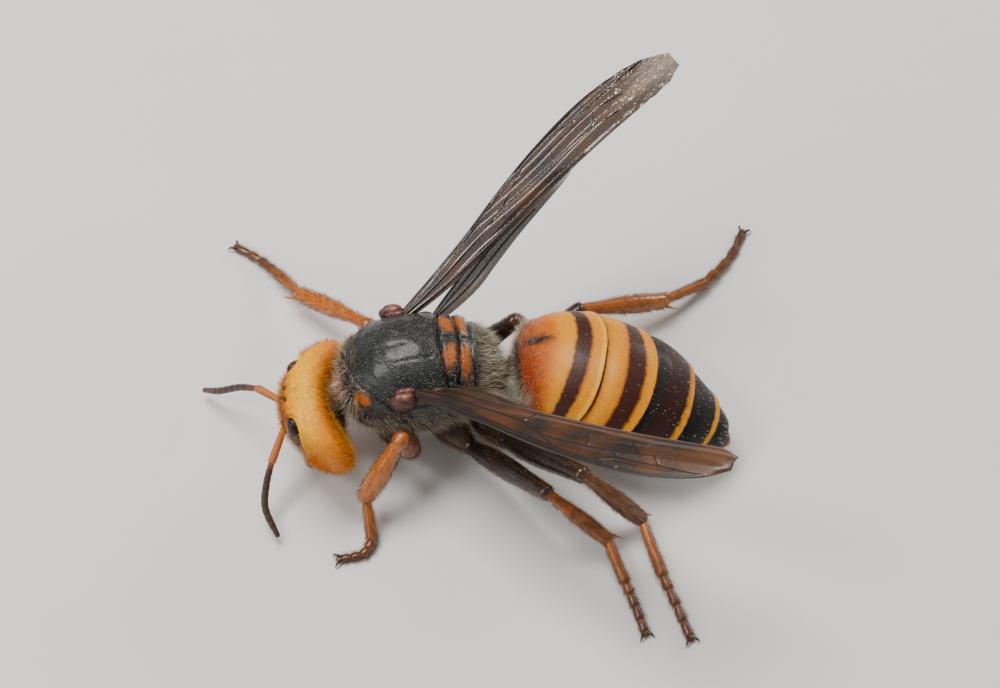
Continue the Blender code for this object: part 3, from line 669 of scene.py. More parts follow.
# Face plate with its raised middle, and the cheek grooves down to the jaws.
plate_edge = patch(head_y, head_z + 2.5, 2.15, 1.9)
height += facing * (0.28 * ramp(plate_edge, -0.05, 0.5) - 0.22 * bell(plate_edge, 0.12))
socket = np.sqrt((head_side - 1.0) ** 2 + (head_z - 0.7) ** 2)
height += facing * (0.14 * bell(socket - 0.62, 0.12) - 0.2 * bell(socket, 0.4))
height += -0.12 * bell(head_y, 0.12) * facing * ramp(head_z, 0.6, 1.6)
crown = ramp(n[..., 2], 0.55, 0.85)
height += -0.07 * bell(head_y, 0.14) * crown * (1.0 - ramp(head_x, 0.6, 1.0))
# Distance towards the face and out to the side: one in the middle, one on each side.
OCELLI = ((2.2, 0.0), (1.65, 0.55))
for place_x, place_y in OCELLI:
    far = np.sqrt((head_x - place_x) ** 2 + (head_side - place_y) ** 2)
    height += crown * (-0.08 * bell(far - 0.33, 0.1))
height += 0.16 * bell(head_x + 2.9 + 0.02 * head_y**2, 0.35) * (1.0 - facing)
head_base = from_head(spot)
head_out = outward(head_base)
head_rings = head_base + head_out * height[..., None]

rear_rim = ramp(-n[..., 0], 0.3, 0.75)
# Painted shade: darker orange round the eyes, along the rear rim and low on the head.
painted_shade = np.maximum.reduce([0.4 - eye_gap, rear_rim * 2.4 - 0.8, 0.9 - head_z * 0.5])
# Painted highlight: the top of the head turns lighter yellow, most of all in the middle of the
# crown.
crown_highlight = 1.7 - np.abs(head_x - 0.1) * 1.1 - np.abs(head_z - 3.8) * 0.45 - head_side * 0.1
frons = np.minimum(head_x - 2.0 + 0.12 * head_side**2, 2.6 - head_side)
frons = np.minimum(frons, plate_edge * -1.0)
dark_marks = np.maximum(0.2 - np.abs(plate_edge) - 2.0 * (1.0 - facing), -1.0)
neck_dark = 3.0 - np.sqrt(head_side**2 + (head_z + 0.6) ** 2)
neck_dark -= 4.0 * ramp(n[..., 0], -0.6, -0.2)

lie = laid_on(HEAD_TURN[:, 0] * -0.35 + HEAD_TURN[:, 2] * 0.15, head_out)
in_eye = ramp(eye_gap, 0.1, 0.35)
coat = np.clip(in_eye * (0.6 + 0.4 * facing), 0.0, 1.0)
shag = 0.72 + 0.5 * facing * ramp(head_z, -1.0, 0.6) + 0.2 * facing + 0.4 * rear_rim
shag = shag + 0.3 * ramp(head_side, 4.8, 6.0)

HEAD_ORANGE = (0.92, 0.34, 0.0005)
HEAD_SHADED_ORANGE = (0.84, 0.27, 0.0005)
# The next two colours are painted light: darker orange for shade and lighter yellow for a
# highlight.
SHADE_ORANGE = (0.74, 0.19, 0.001)
CROWN_HIGHLIGHT_YELLOW = (1.0, 0.5, 0.0008)
BROW_BROWN = (0.34, 0.06, 0.008)
SEAM_BROWN = (0.09, 0.018, 0.004)
# Two layers paint light: a painted highlight of lighter yellow on the crown, and painted shade of
# darker orange low on the head, round the eyes and at the rear rim.
head_finish = shell_finish(
    "head_orange", HEAD_ORANGE, HEAD_SHADED_ORANGE,
    [("deep", SHADE_ORANGE, 0.8), ("crown_highlight", CROWN_HIGHLIGHT_YELLOW, 1.2), ("frons", BROW_BROWN, 0.5),
     ("dark", SEAM_BROWN, 0.14), ("neck", (0.035, 0.012, 0.007), 0.5)],
    roughness=0.46, pits=(3600.0, 0.03), grain=(6000.0, 0.02), gloss=0.05)
head = shell("head_shell", [(head_rings, {
    "deep": painted_shade, "crown_highlight": crown_highlight, "frons": frons, "dark": dark_marks,
    "neck": neck_dark, "coat": coat, "shag": shag, "lie": lie})], head_finish)
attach(head, "root")
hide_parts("head")

head_hair = hair_finish("head_hair", (0.4, 0.12, 0.004), (0.92, 0.42, 0.02))
grow_hair("head_hair", head, "hair", head_hair, spacing=0.15 * MM, length=0.6 * MM,
          width=0.015 * MM, lift=0.8, wildness=0.3, seed=5)


# Long dark compound eyes of fine facets, notched towards the face and set into the head, and
# three glassy simple eyes half sunk in a triangle on the crown.
def unit(way):
    """The same direction at a length of one."""
    return way / np.linalg.norm(way, axis=-1, keepdims=True)


def egg_rings(centre, half, turn, rows=48, columns=64, bump=None):
    """Rings of an egg from its top down, with a change of its radius where bump says so."""
    n = ball_ways(rows, columns)
    grow = 1.0 if bump is None else (1.0 + bump(n))[..., None]
    return np.asarray(centre, float) + (n * half * grow) @ np.asarray(turn).T


eye_finish, tree, shader = blank_finish("compound_eye")
place = add(tree, "ShaderNodeTexCoord").outputs["Object"]
facets = add(tree, "ShaderNodeTexVoronoi", {"Vector": place, "Scale": 17000.0})
tone = blend(tree, speckle(tree, place, 500.0), (0.004, 0.002, 0.002), (0.03, 0.007, 0.004))
tree.links.new(tone, shader.inputs["Base Color"])
dimple = add(tree, "ShaderNodeBump", {"Height": facets.outputs["Distance"],
                                      "Distance": 0.012 * MM})
tree.links.new(dimple.outputs[0], shader.inputs["Normal"])
shader.inputs["Roughness"].default_value = 0.22
shader.inputs["Specular IOR Level"].default_value = 0.3
shader.inputs["Coat Weight"].default_value = 0.1

EYE_NOTCH = np.array((0.62, -0.7, 0.36))
for side_name, side in (("left", 1.0), ("right", -1.0)):
    flip = np.array((1.0, side, 1.0))
    turn = HEAD_TURN @ turn_matrix(z=EYE_TURN * side) @ turn_matrix(x=-EYE_TILT * side)
    notch = unit(EYE_NOTCH * flip)
    rings = egg_rings(from_head(EYE_PLACE * flip), EYE_HALF, turn,
                      bump=lambda n: -0.3 * bell(np.arccos(np.clip(n @ notch, -1, 1)), 0.34))
    eye = shell(f"eye_{side_name}_dome", [(rings, {})], eye_finish)
    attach(eye, "root")
    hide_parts(f"eye_{side_name}")

OCELLUS_HALF = (0.26, 0.26, 0.2)
ocelli = []
for place_x, place_y in (OCELLI[0], OCELLI[1], (OCELLI[1][0], -OCELLI[1][1])):
    on_crown = np.where(head_z < 2.0, 50.0, 0.0)
    nearest = np.argmin((head_x - place_x) ** 2 + (head_y - place_y) ** 2 + on_crown)
    centre = head_rings.reshape(-1, 3)[nearest]
    ocelli.append((egg_rings(centre, OCELLUS_HALF, HEAD_TURN, rows=14, columns=20), {}))
ocelli = shell("ocelli", ocelli, eye_finish)
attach(ocelli, "root")


# Two stout jaws of thick shell, rust-red at the root and black at the teeth. Each is hinged under
# a cheek, and its root runs up into the head.
def measured(points):
    """Points with their distance along the line in front of them."""
    points = np.asarray(points, float)
    far = np.concatenate([[0.0], np.cumsum(np.linalg.norm(np.diff(points, axis=0), axis=1))])
    return np.column_stack([far, points])


def tube_rings(points, radii, columns=18, rows=24, flat=1.0, tip=0.75):
    """Rings along a smooth line, as thick as the radii spread along it."""
    route = measured(points)
    whole = route[-1, 0]
    profile = np.column_stack([np.linspace(0.0, whole, len(radii)), radii])
    t = np.linspace(0.0, whole, rows)
    line = curve(route, t)
    thick = curve(profile, t)[:, 0]
    way = curve(route, np.minimum(t + 0.01 * whole, whole))
    way = unit(way - curve(route, np.maximum(t - 0.01 * whole, 0.0)))
    up = np.array((0.0, 0.0, 1.0)) if abs(way[0][2]) < 0.95 else np.array((1.0, 0.0, 0.0))
    angle = 2.0 * np.pi * np.arange(columns) / columns
    rings = []
    for i in range(rows):
        side = unit(np.cross(way[i], up))
        up = np.cross(side, way[i])
        circle = side * np.cos(angle)[:, None] + up * np.sin(angle)[:, None] * flat
        if i == 0:
            rings.append(line[i] - way[i] * thick[i] * 0.5 + circle * thick[i] * tip)
        rings.append(line[i] + circle * thick[i])
        if i == rows - 1:
            rings.append(line[i] + way[i] * thick[i] * 0.5 + circle * thick[i] * tip)
    return np.array(rings)


def share_along(rings):
    """0 at the first ring and 1 at the last, for every point."""
    rows, columns = rings.shape[:2]
    return np.broadcast_to(np.linspace(0.0, 1.0, rows)[:, None], (rows, columns))


JAW_RED = (0.34, 0.065, 0.003)
JAW_DEEP_RED = (0.2, 0.03, 0.003)
TOOTH_BLACK = (0.012, 0.006, 0.005)
jaw_finish = shell_finish(
    "jaw_shell", JAW_RED, JAW_DEEP_RED, [("dark", TOOTH_BLACK, 0.35)],
    roughness=0.34, pits=(3000.0, 0.03), grain=(5200.0, 0.016), gloss=0.2)
JAW_LINE = ((1.3, 2.3, -3.0), (2.1, 2.1, -4.7), (2.2, 0.7, -5.4))
JAW_RADII = (1.0, 1.08, 0.82, 0.3)
JAW_FLATNESS = 0.72
BITE = (2.2, 0.0, -4.2)
TOOTH_PLACES = (0.7, 0.84, 0.95)
TOOTH_LENGTH = 0.95
TOOTH_RADII = (0.4, 0.3, 0.05)
for side_name, side in (("left", 1.0), ("right", -1.0)):
    line = from_head(np.array(JAW_LINE) * (1.0, side, 1.0))
    rings = tube_rings(line, JAW_RADII, columns=28, rows=40, flat=JAW_FLATNESS)
    parts = [(rings, {"dark": share_along(rings) * 2.4 - 1.15})]
    for share in TOOTH_PLACES:
        at = curve(np.column_stack([(0.0, 0.5, 1.0), line]), np.array((share,)))[0]
        inward = unit(from_head(BITE) - at)
        tooth = tube_rings((at, at + inward * 0.5, at + inward * TOOTH_LENGTH), TOOTH_RADII,
                           columns=12, rows=8)
        parts.append((tooth, {"dark": np.ones(tooth.shape[:2])}))
    jaw = shell(f"jaw_{side_name}", parts, jaw_finish)
    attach(jaw, "root")
    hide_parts(f"mandible_{side_name}")


# The dark hard lip and mouth between the jaws, with a thin jointed palp on each side of it,
# rooted under the face plate.
MOUTH_PLACE = (1.5, 0.0, -4.3)
MOUTH_HALF = np.array((0.75, 1.25, 0.85))
PALP = ((1.6, 1.0, -4.8), (2.3, 1.15, -5.3), (3.0, 1.0, -5.2), (3.5, 0.75, -4.9))
PALP_RADIUS = 0.17
PALP_SWELL = (1.0, 1.1, 1.0, 0.8)
PALP_JOINTS = 3


def waisted(rings, share):
    """Rings drawn in towards their middles by a share of their width."""
    middle = rings.mean(axis=1, keepdims=True)
    return middle + (rings - middle) * share[..., None]


rings = egg_rings(from_head(MOUTH_PLACE), MOUTH_HALF, HEAD_TURN, rows=30, columns=40,
                  bump=lambda n: 0.08 * np.sin(6.0 * n[..., 1]))
parts = [(rings, {"dark": 0.3 + 0.5 * share_along(rings)})]
for side in (1.0, -1.0):
    palp = tube_rings(from_head(np.array(PALP) * (1.0, side, 1.0)),
                      np.array(PALP_SWELL) * PALP_RADIUS, columns=12, rows=60)
    joints = np.abs(np.sin(PALP_JOINTS * np.pi * share_along(palp))) ** 0.4
    parts.append((waisted(palp, 0.7 + 0.3 * joints), {}))
mouth = shell("mouth", parts, jaw_finish)
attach(mouth, "root")


# Each feeler turns in a socket of the face: an orange-red first joint, a small bead at the elbow
# and a dark, dull lash of ten short joints, each a little waisted where it meets the next.
ANTENNA_ROOT = (2.7, 1.0, 0.7)
SCAPE_RADIUS = 0.36
LASH_RADIUS = 0.34
LASH_SWELL = (0.85, 1.0, 1.05, 1.05, 1.0, 0.75)
LASH_JOINTS = 10
SCAPE_ORANGE = (0.5, 0.15, 0.03)
SCAPE_DEEP_ORANGE = (0.38, 0.09, 0.02)
LASH_BROWN = (0.055, 0.024, 0.016)
antenna_finish = shell_finish(
    "antenna_shell", SCAPE_ORANGE, SCAPE_DEEP_ORANGE, [("dark", LASH_BROWN, 0.35)],
    roughness=0.5, pits=(6000.0, 0.006), grain=(9000.0, 0.01), gloss=0.1, sheen=0.3)
# Which side, the place of the elbow and the line of the lash.
ANTENNAE = {
    "left": (1.0, (-21.35, -11.1, 4.9), ((-21.9, -12.6, 3.4), (-22.0, -14.6, 2.2),
                                         (-20.8, -16.9, 1.0))),
    "right": (-1.0, (-22.9, -4.2, 6.7), ((-24.9, -3.0, 5.0), (-27.2, -2.1, 2.9),
                                         (-28.9, -0.95, 1.2))),
}
for side_name, (side, elbow, route) in ANTENNAE.items():
    root = from_head(np.array(ANTENNA_ROOT) * (1.0, side, 1.0))
    elbow = np.array(elbow)
    scape = tube_rings((root, (root + elbow) / 2.0, elbow),
                       np.array((0.7, 1.0, 1.12)) * SCAPE_RADIUS, columns=20, rows=30)
    bead = tube_rings((elbow, elbow + (np.array(route[0]) - elbow) * 0.12),
                      np.array((0.7, 0.85)) * SCAPE_RADIUS, columns=18, rows=8)
    lash = tube_rings((elbow, *route),
                      np.array(LASH_SWELL) * LASH_RADIUS,
                      columns=20, rows=200, tip=0.6)
    along = share_along(lash)
    waist = np.abs(np.sin(np.pi * LASH_JOINTS * along)) ** 0.35
    lash = waisted(lash, 0.84 + 0.16 * waist)
    antenna = shell(f"antenna_{side_name}", [
        (scape, {"dark": share_along(scape) * 0.3 - 0.6}),
        (bead, {"dark": np.full(bead.shape[:2], -0.1)}),
        (lash, {"dark": along * 1.4 + 0.1})], antenna_finish)
    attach(antenna, "root")
    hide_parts(f"antenna_{side_name}_scape", f"antenna_{side_name}_flagellum")


# Six smooth shell rings that slide into one another like a telescope behind a narrow waist,
# which joins them to the thorax: orange with a red-brown band, then black with thin orange rims.
# The middle line from the waist to the tip.
GASTER_LINE = ((-0.4, -2.35, 6.8), (0.9, -2.1, 7.0), (4.3, -2.25, 7.4), (7.1, -2.95, 7.4),
               (10.1, -4.15, 7.1), (12.9, -5.1, 6.6), (16.4, -6.4, 5.5), (19.0, -7.1, 4.6),
               (20.9, -7.7, 3.6), (22.0, -8.0, 2.6))
# Distance along that line, half width and half height.
GASTER_SECTIONS = ((-1.5, 0.8, 0.75), (0.0, 0.85, 0.8), (1.3, 0.9, 0.85), (1.9, 1.9, 1.8),
                   (2.6, 3.4, 3.1), (3.8, 4.6, 4.2), (5.4, 5.5, 4.9), (7.6, 6.1, 5.35),
                   (10.2, 6.3, 5.5), (13.0, 6.15, 5.25), (15.6, 5.7, 4.7), (18.0, 4.85, 3.8),
                   (20.2, 3.65, 2.85), (22.0, 2.3, 1.9), (23.2, 1.15, 0.95),
                   (24.0, 0.35, 0.3))
# Where one ring ends and the next begins.
GASTER_JOINTS = (10.05, 14.4, 18.4, 21.3, 22.8)
# Distance along the line, and how far a ring leans there at its side and over its back.
GASTER_LEAN = ((0.0, 0.0, 0.0), (4.0, 0.6, 0.8), (8.0, 1.45, 2.1), (10.0, 1.7, 2.4),
               (12.0, 1.25, 2.2), (14.4, 1.15, 2.2), (18.4, 0.4, 1.4), (21.4, 0.2, 0.7),
               (24.0, 0.0, 0.0))
GASTER_BELLY_LEAN = 0.35
GASTER_POWER = 2.15
GASTER_COLUMNS = 200
GASTER_STEP_DEPTH = 0.2
GASTER_STEP_LENGTH = 1.3
GASTER_ENDS = (-1.2, 24.0)
GASTER_WAIST = 3.0
RINGS_PER_MM = 15.0
# Half the slit between two rings, in mm.
RING_SLIT = 0.02

stations = [np.linspace(GASTER_ENDS[0], GASTER_WAIST, 50)]
for start, end in zip((GASTER_WAIST, *GASTER_JOINTS), (*GASTER_JOINTS, GASTER_ENDS[1])):
    stations.append(np.linspace(start + RING_SLIT, end - RING_SLIT,
                                int((end - start) * RINGS_PER_MM)))
stations = np.concatenate(stations)
across, upward, angle = oval_axes(GASTER_COLUMNS, GASTER_POWER)
c, s = np.cos(angle), np.sin(angle)
bow = np.where(s > 0.0, 1.0 - s, 1.0 - (1.0 - GASTER_BELLY_LEAN) * (1.0 - np.abs(c)))
lean = curve(GASTER_LEAN, stations)
spread = stations[:, None] - lean[:, :1] * c - lean[:, 1:] * bow
route = measured(GASTER_LINE)
whole = route[-1, 0]
share = np.clip(spread, 0.0, whole)
way = unit(curve(route, np.minimum(share + 0.3, whole))
           - curve(route, np.maximum(share - 0.3, 0.0)))
sideways = unit(np.cross((0.0, 0.0, 1.0), way))
up = np.cross(way, sideways)
centre = curve(route, share) + way * (spread - share)[..., None]
girth = curve(GASTER_SECTIONS, spread)

# Each ring flares at its rear rim and the next one starts a step lower.
t = np.broadcast_to(stations[:, None], spread.shape)
swell = np.zeros_like(t)
for joint in GASTER_JOINTS:
    swell += 0.1 * bell(t - joint, 0.35) * (t < joint)
    past = t - joint
    swell -= np.where(past > 0.0, GASTER_STEP_DEPTH * (1.0 - ramp(past, 0.0, GASTER_STEP_LENGTH)),
                      0.0)
# The upper plates overlap the lower ones along each side.
seam = np.broadcast_to(s + 0.42, t.shape)
swell += np.where(t > 3.5, -0.14 * bell(seam, 0.05) + 0.05 * bell(seam - 0.12, 0.08), 0.0)
swell -= 0.12 * bell(t - 2.1, 0.2)
gaster_rings = (centre + sideways * (across * (girth[..., 0] + swell))[..., None]
                + up * (upward * (girth[..., 1] + swell))[..., None])
gaster_out = outward(gaster_rings)

# Marks, as places along the abdomen: bands of the first three rings, the thin rims and a painted
# highlight on the first ring.
red_band = np.maximum.reduce([
    np.minimum(t - 7.35 - 0.25 * lean[:, :1] * c, 8.75 - t),
    np.minimum(t - 11.95, 13.5 - t),
])
black = np.maximum.reduce([
    np.minimum(t - 14.42, 17.75 - t),
    np.minimum(t - 18.42, 20.85 - t),
    np.minimum(t - 21.32, 23.5 - t),
])
deep_red = np.minimum(np.minimum(t - 15.5, 17.7 - t), 1.6)
pale = 0.14 - np.abs(t - 9.78)
brown_rim = np.maximum.reduce([0.05 - np.abs(t - j) for j in (10.02, 14.38)])
waist_dark = np.maximum(2.75 - t, patch(t - 4.3, c - 0.03, 1.2, 0.09) * 6.0)
waist_dark = np.where((t > 2.75) & (s < 0.0), -1.0, waist_dark)
red_front = 4.3 - t - 0.6 * c
# Yellow-orange: the real bands and thin rims, and a painted highlight across the first ring round
# 7.2 mm along.
yellow = np.maximum.reduce([np.minimum(t - 8.7, 10.2 - t), np.minimum(t - 10.2, 11.9 - t),
                            np.minimum(t - 13.2, 14.8 - t), 1.3 - np.abs(t - 7.2),
                            0.9 - np.abs(t - 18.1), 0.9 - np.abs(t - 21.1)])

lie = laid_on(way, gaster_out)
front_hair = 1.0 - ramp(t, 3.4, 5.6)
coat = np.clip(0.04 + 0.9 * front_hair + 0.1 * ramp(t, 18.0, 22.0), 0.0, 1.0)
coat = coat * ramp(t, 1.2, 2.2)
shag = 0.28 + 0.72 * front_hair + 0.5 * ramp(t, 20.0, 23.0)

RING_ORANGE = (0.6, 0.15, 0.0005)
RING_DEEP_ORANGE = (0.5, 0.1, 0.0005)
RING_BLACK = (0.007, 0.006, 0.006)
BAND_RED_BROWN = (0.045, 0.009, 0.005)
# In this finish the yellow layer also paints the highlight on the first ring.
gaster_finish = shell_finish(
    "gaster_bands", RING_ORANGE, RING_DEEP_ORANGE,
    [("yellow", (0.72, 0.27, 0.0005), 0.7), ("red_front", (0.3, 0.035, 0.001), 1.3),
     ("red_band", BAND_RED_BROWN, 0.2), ("pale", (0.82, 0.4, 0.012), 0.12),
     ("black", RING_BLACK, 0.14), ("deep_red", (0.032, 0.007, 0.004), 0.8),
     ("brown_rim", (0.06, 0.014, 0.004), 0.05), ("waist", (0.02, 0.007, 0.005), 0.35)],
    roughness=0.46, pits=(2600.0, 0.02), grain=(5200.0, 0.03), gloss=0.06)
gaster_marks = {
    "yellow": yellow, "red_front": red_front, "red_band": red_band, "pale": pale,
    "black": black, "deep_red": np.minimum(deep_red, black), "brown_rim": brown_rim,
    "waist": waist_dark, "coat": coat, "shag": shag, "lie": lie}
# Each ring of the abdomen is a closed plate of its own, from one joint to the next.
ring_ends = (0, *np.searchsorted(stations, GASTER_JOINTS), len(stations))
for number, (first, last) in enumerate(zip(ring_ends, ring_ends[1:]), 1):
    ring_marks = {key: values[first:last] for key, values in gaster_marks.items()}
    ring = shell(f"gaster_ring_{number}", [(gaster_rings[first:last], ring_marks)],
                 gaster_finish)
    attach(ring, "root")
    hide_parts(f"gaster_{number}")
hair_bed = shell("gaster_hair_bed", [(gaster_rings, gaster_marks)], gaster_finish)
grow_hair("gaster_hair", hair_bed, "hair", pale_hair, spacing=0.14 * MM, length=0.95 * MM,
          width=0.011 * MM, lift=1.1, wildness=0.35, seed=8)
bpy.data.objects.remove(hair_bed)


# The short stalk of dark, flexible skin between thorax and head. It grows out of the front of
# the thorax, reaches into the hollow behind the head and is as hairy as the collar.
neck_line = (from_thorax((1.6, 0.0, -0.6)), THORAX_FRONT * 0.6 + HEAD_CENTRE * 0.4,
             HEAD_CENTRE * 0.9 + THORAX_FRONT * 0.1)
NECK_RADII = (1.5, 1.4, 1.45)
neck_rings = tube_rings(neck_line, NECK_RADII, columns=40, rows=40)
neck = shell("neck", [(neck_rings, {"coat": 1.0, "shag": 0.8,
                                    "lie": -THORAX_TURN[:, 0] * 0.2})], thorax_finish)
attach(neck, "root")
grow_hair("neck_hair", neck, "hair", pale_hair, spacing=0.22 * MM, length=0.9 * MM,
          width=0.018 * MM, lift=0.9, wildness=0.5, seed=3)


# A red-brown shell scale caps each wing root, with four smaller knuckles of the hinge behind it,
# wrinkled and half sunk in the side of the thorax.
TEGULA_PLACE = (5.4, 4.9, 2.9)
TEGULA_HALF = (1.2, 0.8, 1.05)
# Place and half sizes of each knuckle.
KNUCKLES = (((5.7, 4.3, 3.6), (0.95, 0.4, 0.32)), ((7.0, 4.25, 3.2), (0.85, 0.45, 0.34)),
            ((8.3, 4.15, 3.0), (1.0, 0.42, 0.32)), ((9.5, 4.0, 2.4), (0.9, 0.4, 0.34)))
SCALE_BROWN = (0.17, 0.05, 0.042)
SCALE_DEEP_BROWN = (0.05, 0.014, 0.012)
SCALE_EDGE = (0.3, 0.13, 0.06)
tegula_finish = shell_finish(
    "tegula_scale", SCALE_BROWN, SCALE_DEEP_BROWN, [("edge", SCALE_EDGE, 0.3)],
    roughness=0.42, pits=(2400.0, 0.06), grain=(5000.0, 0.08), gloss=0.3)


def wrinkles(n):
    return 0.1 * np.sin(n[..., 0] * 5.0 + 1.7 * n[..., 2]) * np.sin(n[..., 2] * 4.0 + 0.8)


for side_name, side in (("left", -1.0), ("right", 1.0)):
    flip = np.array((1.0, side, 1.0))
    scale = egg_rings(from_thorax(TEGULA_PLACE * flip), TEGULA_HALF, THORAX_TURN,
                      rows=40, columns=60, bump=wrinkles)
    parts = [(scale, {"edge": np.abs(share_along(scale) - 0.5) * 2.0 - 0.85})]
    for spot, half in KNUCKLES:
        knuckle = egg_rings(from_thorax(spot * flip), half, THORAX_TURN,
                            rows=24, columns=32, bump=wrinkles)
        parts.append((knuckle, {"edge": -1.0}))
    tegula = shell(f"wing_base_{side_name}", parts, tegula_finish)
    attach(tegula, "root")
    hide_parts(f"tegula_{side_name}")


# Smoky amber film on a net of dark veins, rooted behind the scale. At rest each forewing is
# folded lengthwise, so it is narrow, in two layers and fluted; the hindwing is hooked under it.
# Share of the length, then the front and the rear edge there in mm.
FOREWING_OUTLINE = ((0.0, 0.5, -0.6), (0.06, 0.75, -0.85), (0.14, 1.05, -1.05),
                    (0.27, 1.7, -1.05), (0.43, 2.75, -0.9), (0.59, 3.5, -0.7),
                    (0.74, 3.7, -0.7), (0.87, 3.15, -0.85), (0.95, 2.3, -0.9),
                    (1.0, 1.2, -0.35))
HINDWING_OUTLINE = ((0.0, 0.45, -0.6), (0.12, 0.8, -1.6), (0.28, 1.1, -2.1),
                    (0.42, 1.3, -1.6), (0.6, 1.4, -1.0), (0.8, 1.3, -0.7), (0.95, 1.0, -0.5),
                    (1.0, 0.6, -0.2))
HINDWING_REACH = 0.62
HINDWING_DROP = 1.5
HINDWING_LOBE = {"left": 1.0, "right": 0.55}
FOREWING_ROOT = np.array((6.3, 4.3, 3.0))
HINDWING_ROOT = np.array((9.0, 3.9, 2.1))
# Places of the tips, and the way each blade is wide.
WING_TIPS = {"left": np.array((19.7, -21.9, 24.0)), "right": np.array((16.15, 17.05, 29.0))}
WING_CHORDS = {"left": np.array((-0.467, -0.882, 0.076)),
               "right": np.array((-0.6, 0.78, 0.17))}
WING_CAMBER = 0.35
# How deep the end is crumpled and the blade is fluted, in mm, how close the flutes are and how
# pale the end has worn.
WING_WEAR = {"left": (0.0, 0.05, 4.6, 0.12), "right": (0.24, 0.12, 4.4, 0.6)}
WING_HALF_THICKNESS = 0.07
WING_EDGE_THICKNESS = 0.015
VEIN_RISE = 0.08
# How many points along and across a blade.
FOREWING_GRID = (420, 96)
HINDWING_GRID = (240, 72)
WORN_AMBER = (0.3, 0.14, 0.035)
# Veins as (share of the length, share of the width from the rear edge) and half width in mm.
FOREWING_VEINS = (
    (((0.0, 0.86), (0.2, 0.96), (0.45, 0.975), (0.62, 0.97), (0.8, 0.985), (0.94, 0.99)), 0.15),
    (((0.0, 0.7), (0.2, 0.84), (0.4, 0.89), (0.6, 0.91)), 0.1),
    (((0.58, 0.92), (0.64, 0.92), (0.7, 0.95)), 0.2),
    (((0.63, 0.9), (0.7, 0.76), (0.82, 0.8), (0.93, 0.95)), 0.08),
    (((0.0, 0.42), (0.2, 0.5), (0.38, 0.54)), 0.11),
    (((0.38, 0.54), (0.46, 0.74), (0.5, 0.88)), 0.08),
    (((0.38, 0.54), (0.56, 0.4), (0.72, 0.33), (0.8, 0.24)), 0.08),
    (((0.0, 0.18), (0.25, 0.13), (0.5, 0.1), (0.66, 0.06)), 0.1),
    (((0.38, 0.54), (0.4, 0.13)), 0.06),
    (((0.46, 0.74), (0.6, 0.66), (0.75, 0.6), (0.84, 0.5)), 0.07),
    (((0.6, 0.66), (0.585, 0.4)), 0.06),
    (((0.72, 0.34), (0.75, 0.6)), 0.06),
    (((0.68, 0.64), (0.7, 0.76)), 0.05),
    (((0.79, 0.55), (0.82, 0.8)), 0.05),
)
HINDWING_VEINS = (
    (((0.0, 0.85), (0.3, 0.94), (0.6, 0.96), (0.95, 0.97)), 0.11),
    (((0.0, 0.6), (0.3, 0.62), (0.6, 0.6), (0.9, 0.5)), 0.08),
    (((0.0, 0.4), (0.25, 0.34), (0.5, 0.3), (0.75, 0.2)), 0.08),
    (((0.45, 0.62), (0.5, 0.94)), 0.05),
    (((0.38, 0.32), (0.42, 0.6)), 0.05),
)


def wing_finish(name, film, fold, vein, alpha, gloss):
    """Clear film with browner folds, dark solid veins and a worn end."""
    made, tree, shader = blank_finish(name)
    place = add(tree, "ShaderNodeTexCoord").outputs["Object"]
    creases = speckle(tree, place, 2600.0, 4.0)
    on_vein = remap(tree, mark_of(tree, "vein"), -0.05, 0.03)
    outer = mark_of(tree, "outer")
    share = remap(tree, speckle(tree, place, 260.0, 5.0), 0.35, 0.65)
    body = blend(tree, share, film, fold)
    body = blend(tree, outer, body, WORN_AMBER)
    body = blend(tree, on_vein, body, vein)
    tree.links.new(body, shader.inputs["Base Color"])
    thin = remap(tree, outer, to_low=alpha, to_high=alpha * 0.6)
    solid = add(tree, "ShaderNodeMath", {0: thin, 1: on_vein}, operation="MAXIMUM").outputs[0]
    tree.links.new(solid, shader.inputs["Alpha"])
    rough = remap(tree, creases, 0.3, 0.7, 0.36 - 0.26 * gloss, 0.5 - 0.3 * gloss)
    tree.links.new(rough, shader.inputs["Roughness"])
    ripple = add(tree, "ShaderNodeBump", {"Height": creases,
                                          "Distance": (0.024 - 0.02 * gloss) * MM})
    tree.links.new(ripple.outputs[0], shader.inputs["Normal"])
    shader.inputs["Coat Weight"].default_value = gloss
    shader.inputs["Coat Roughness"].default_value = 0.3 - 0.25 * gloss
    return made


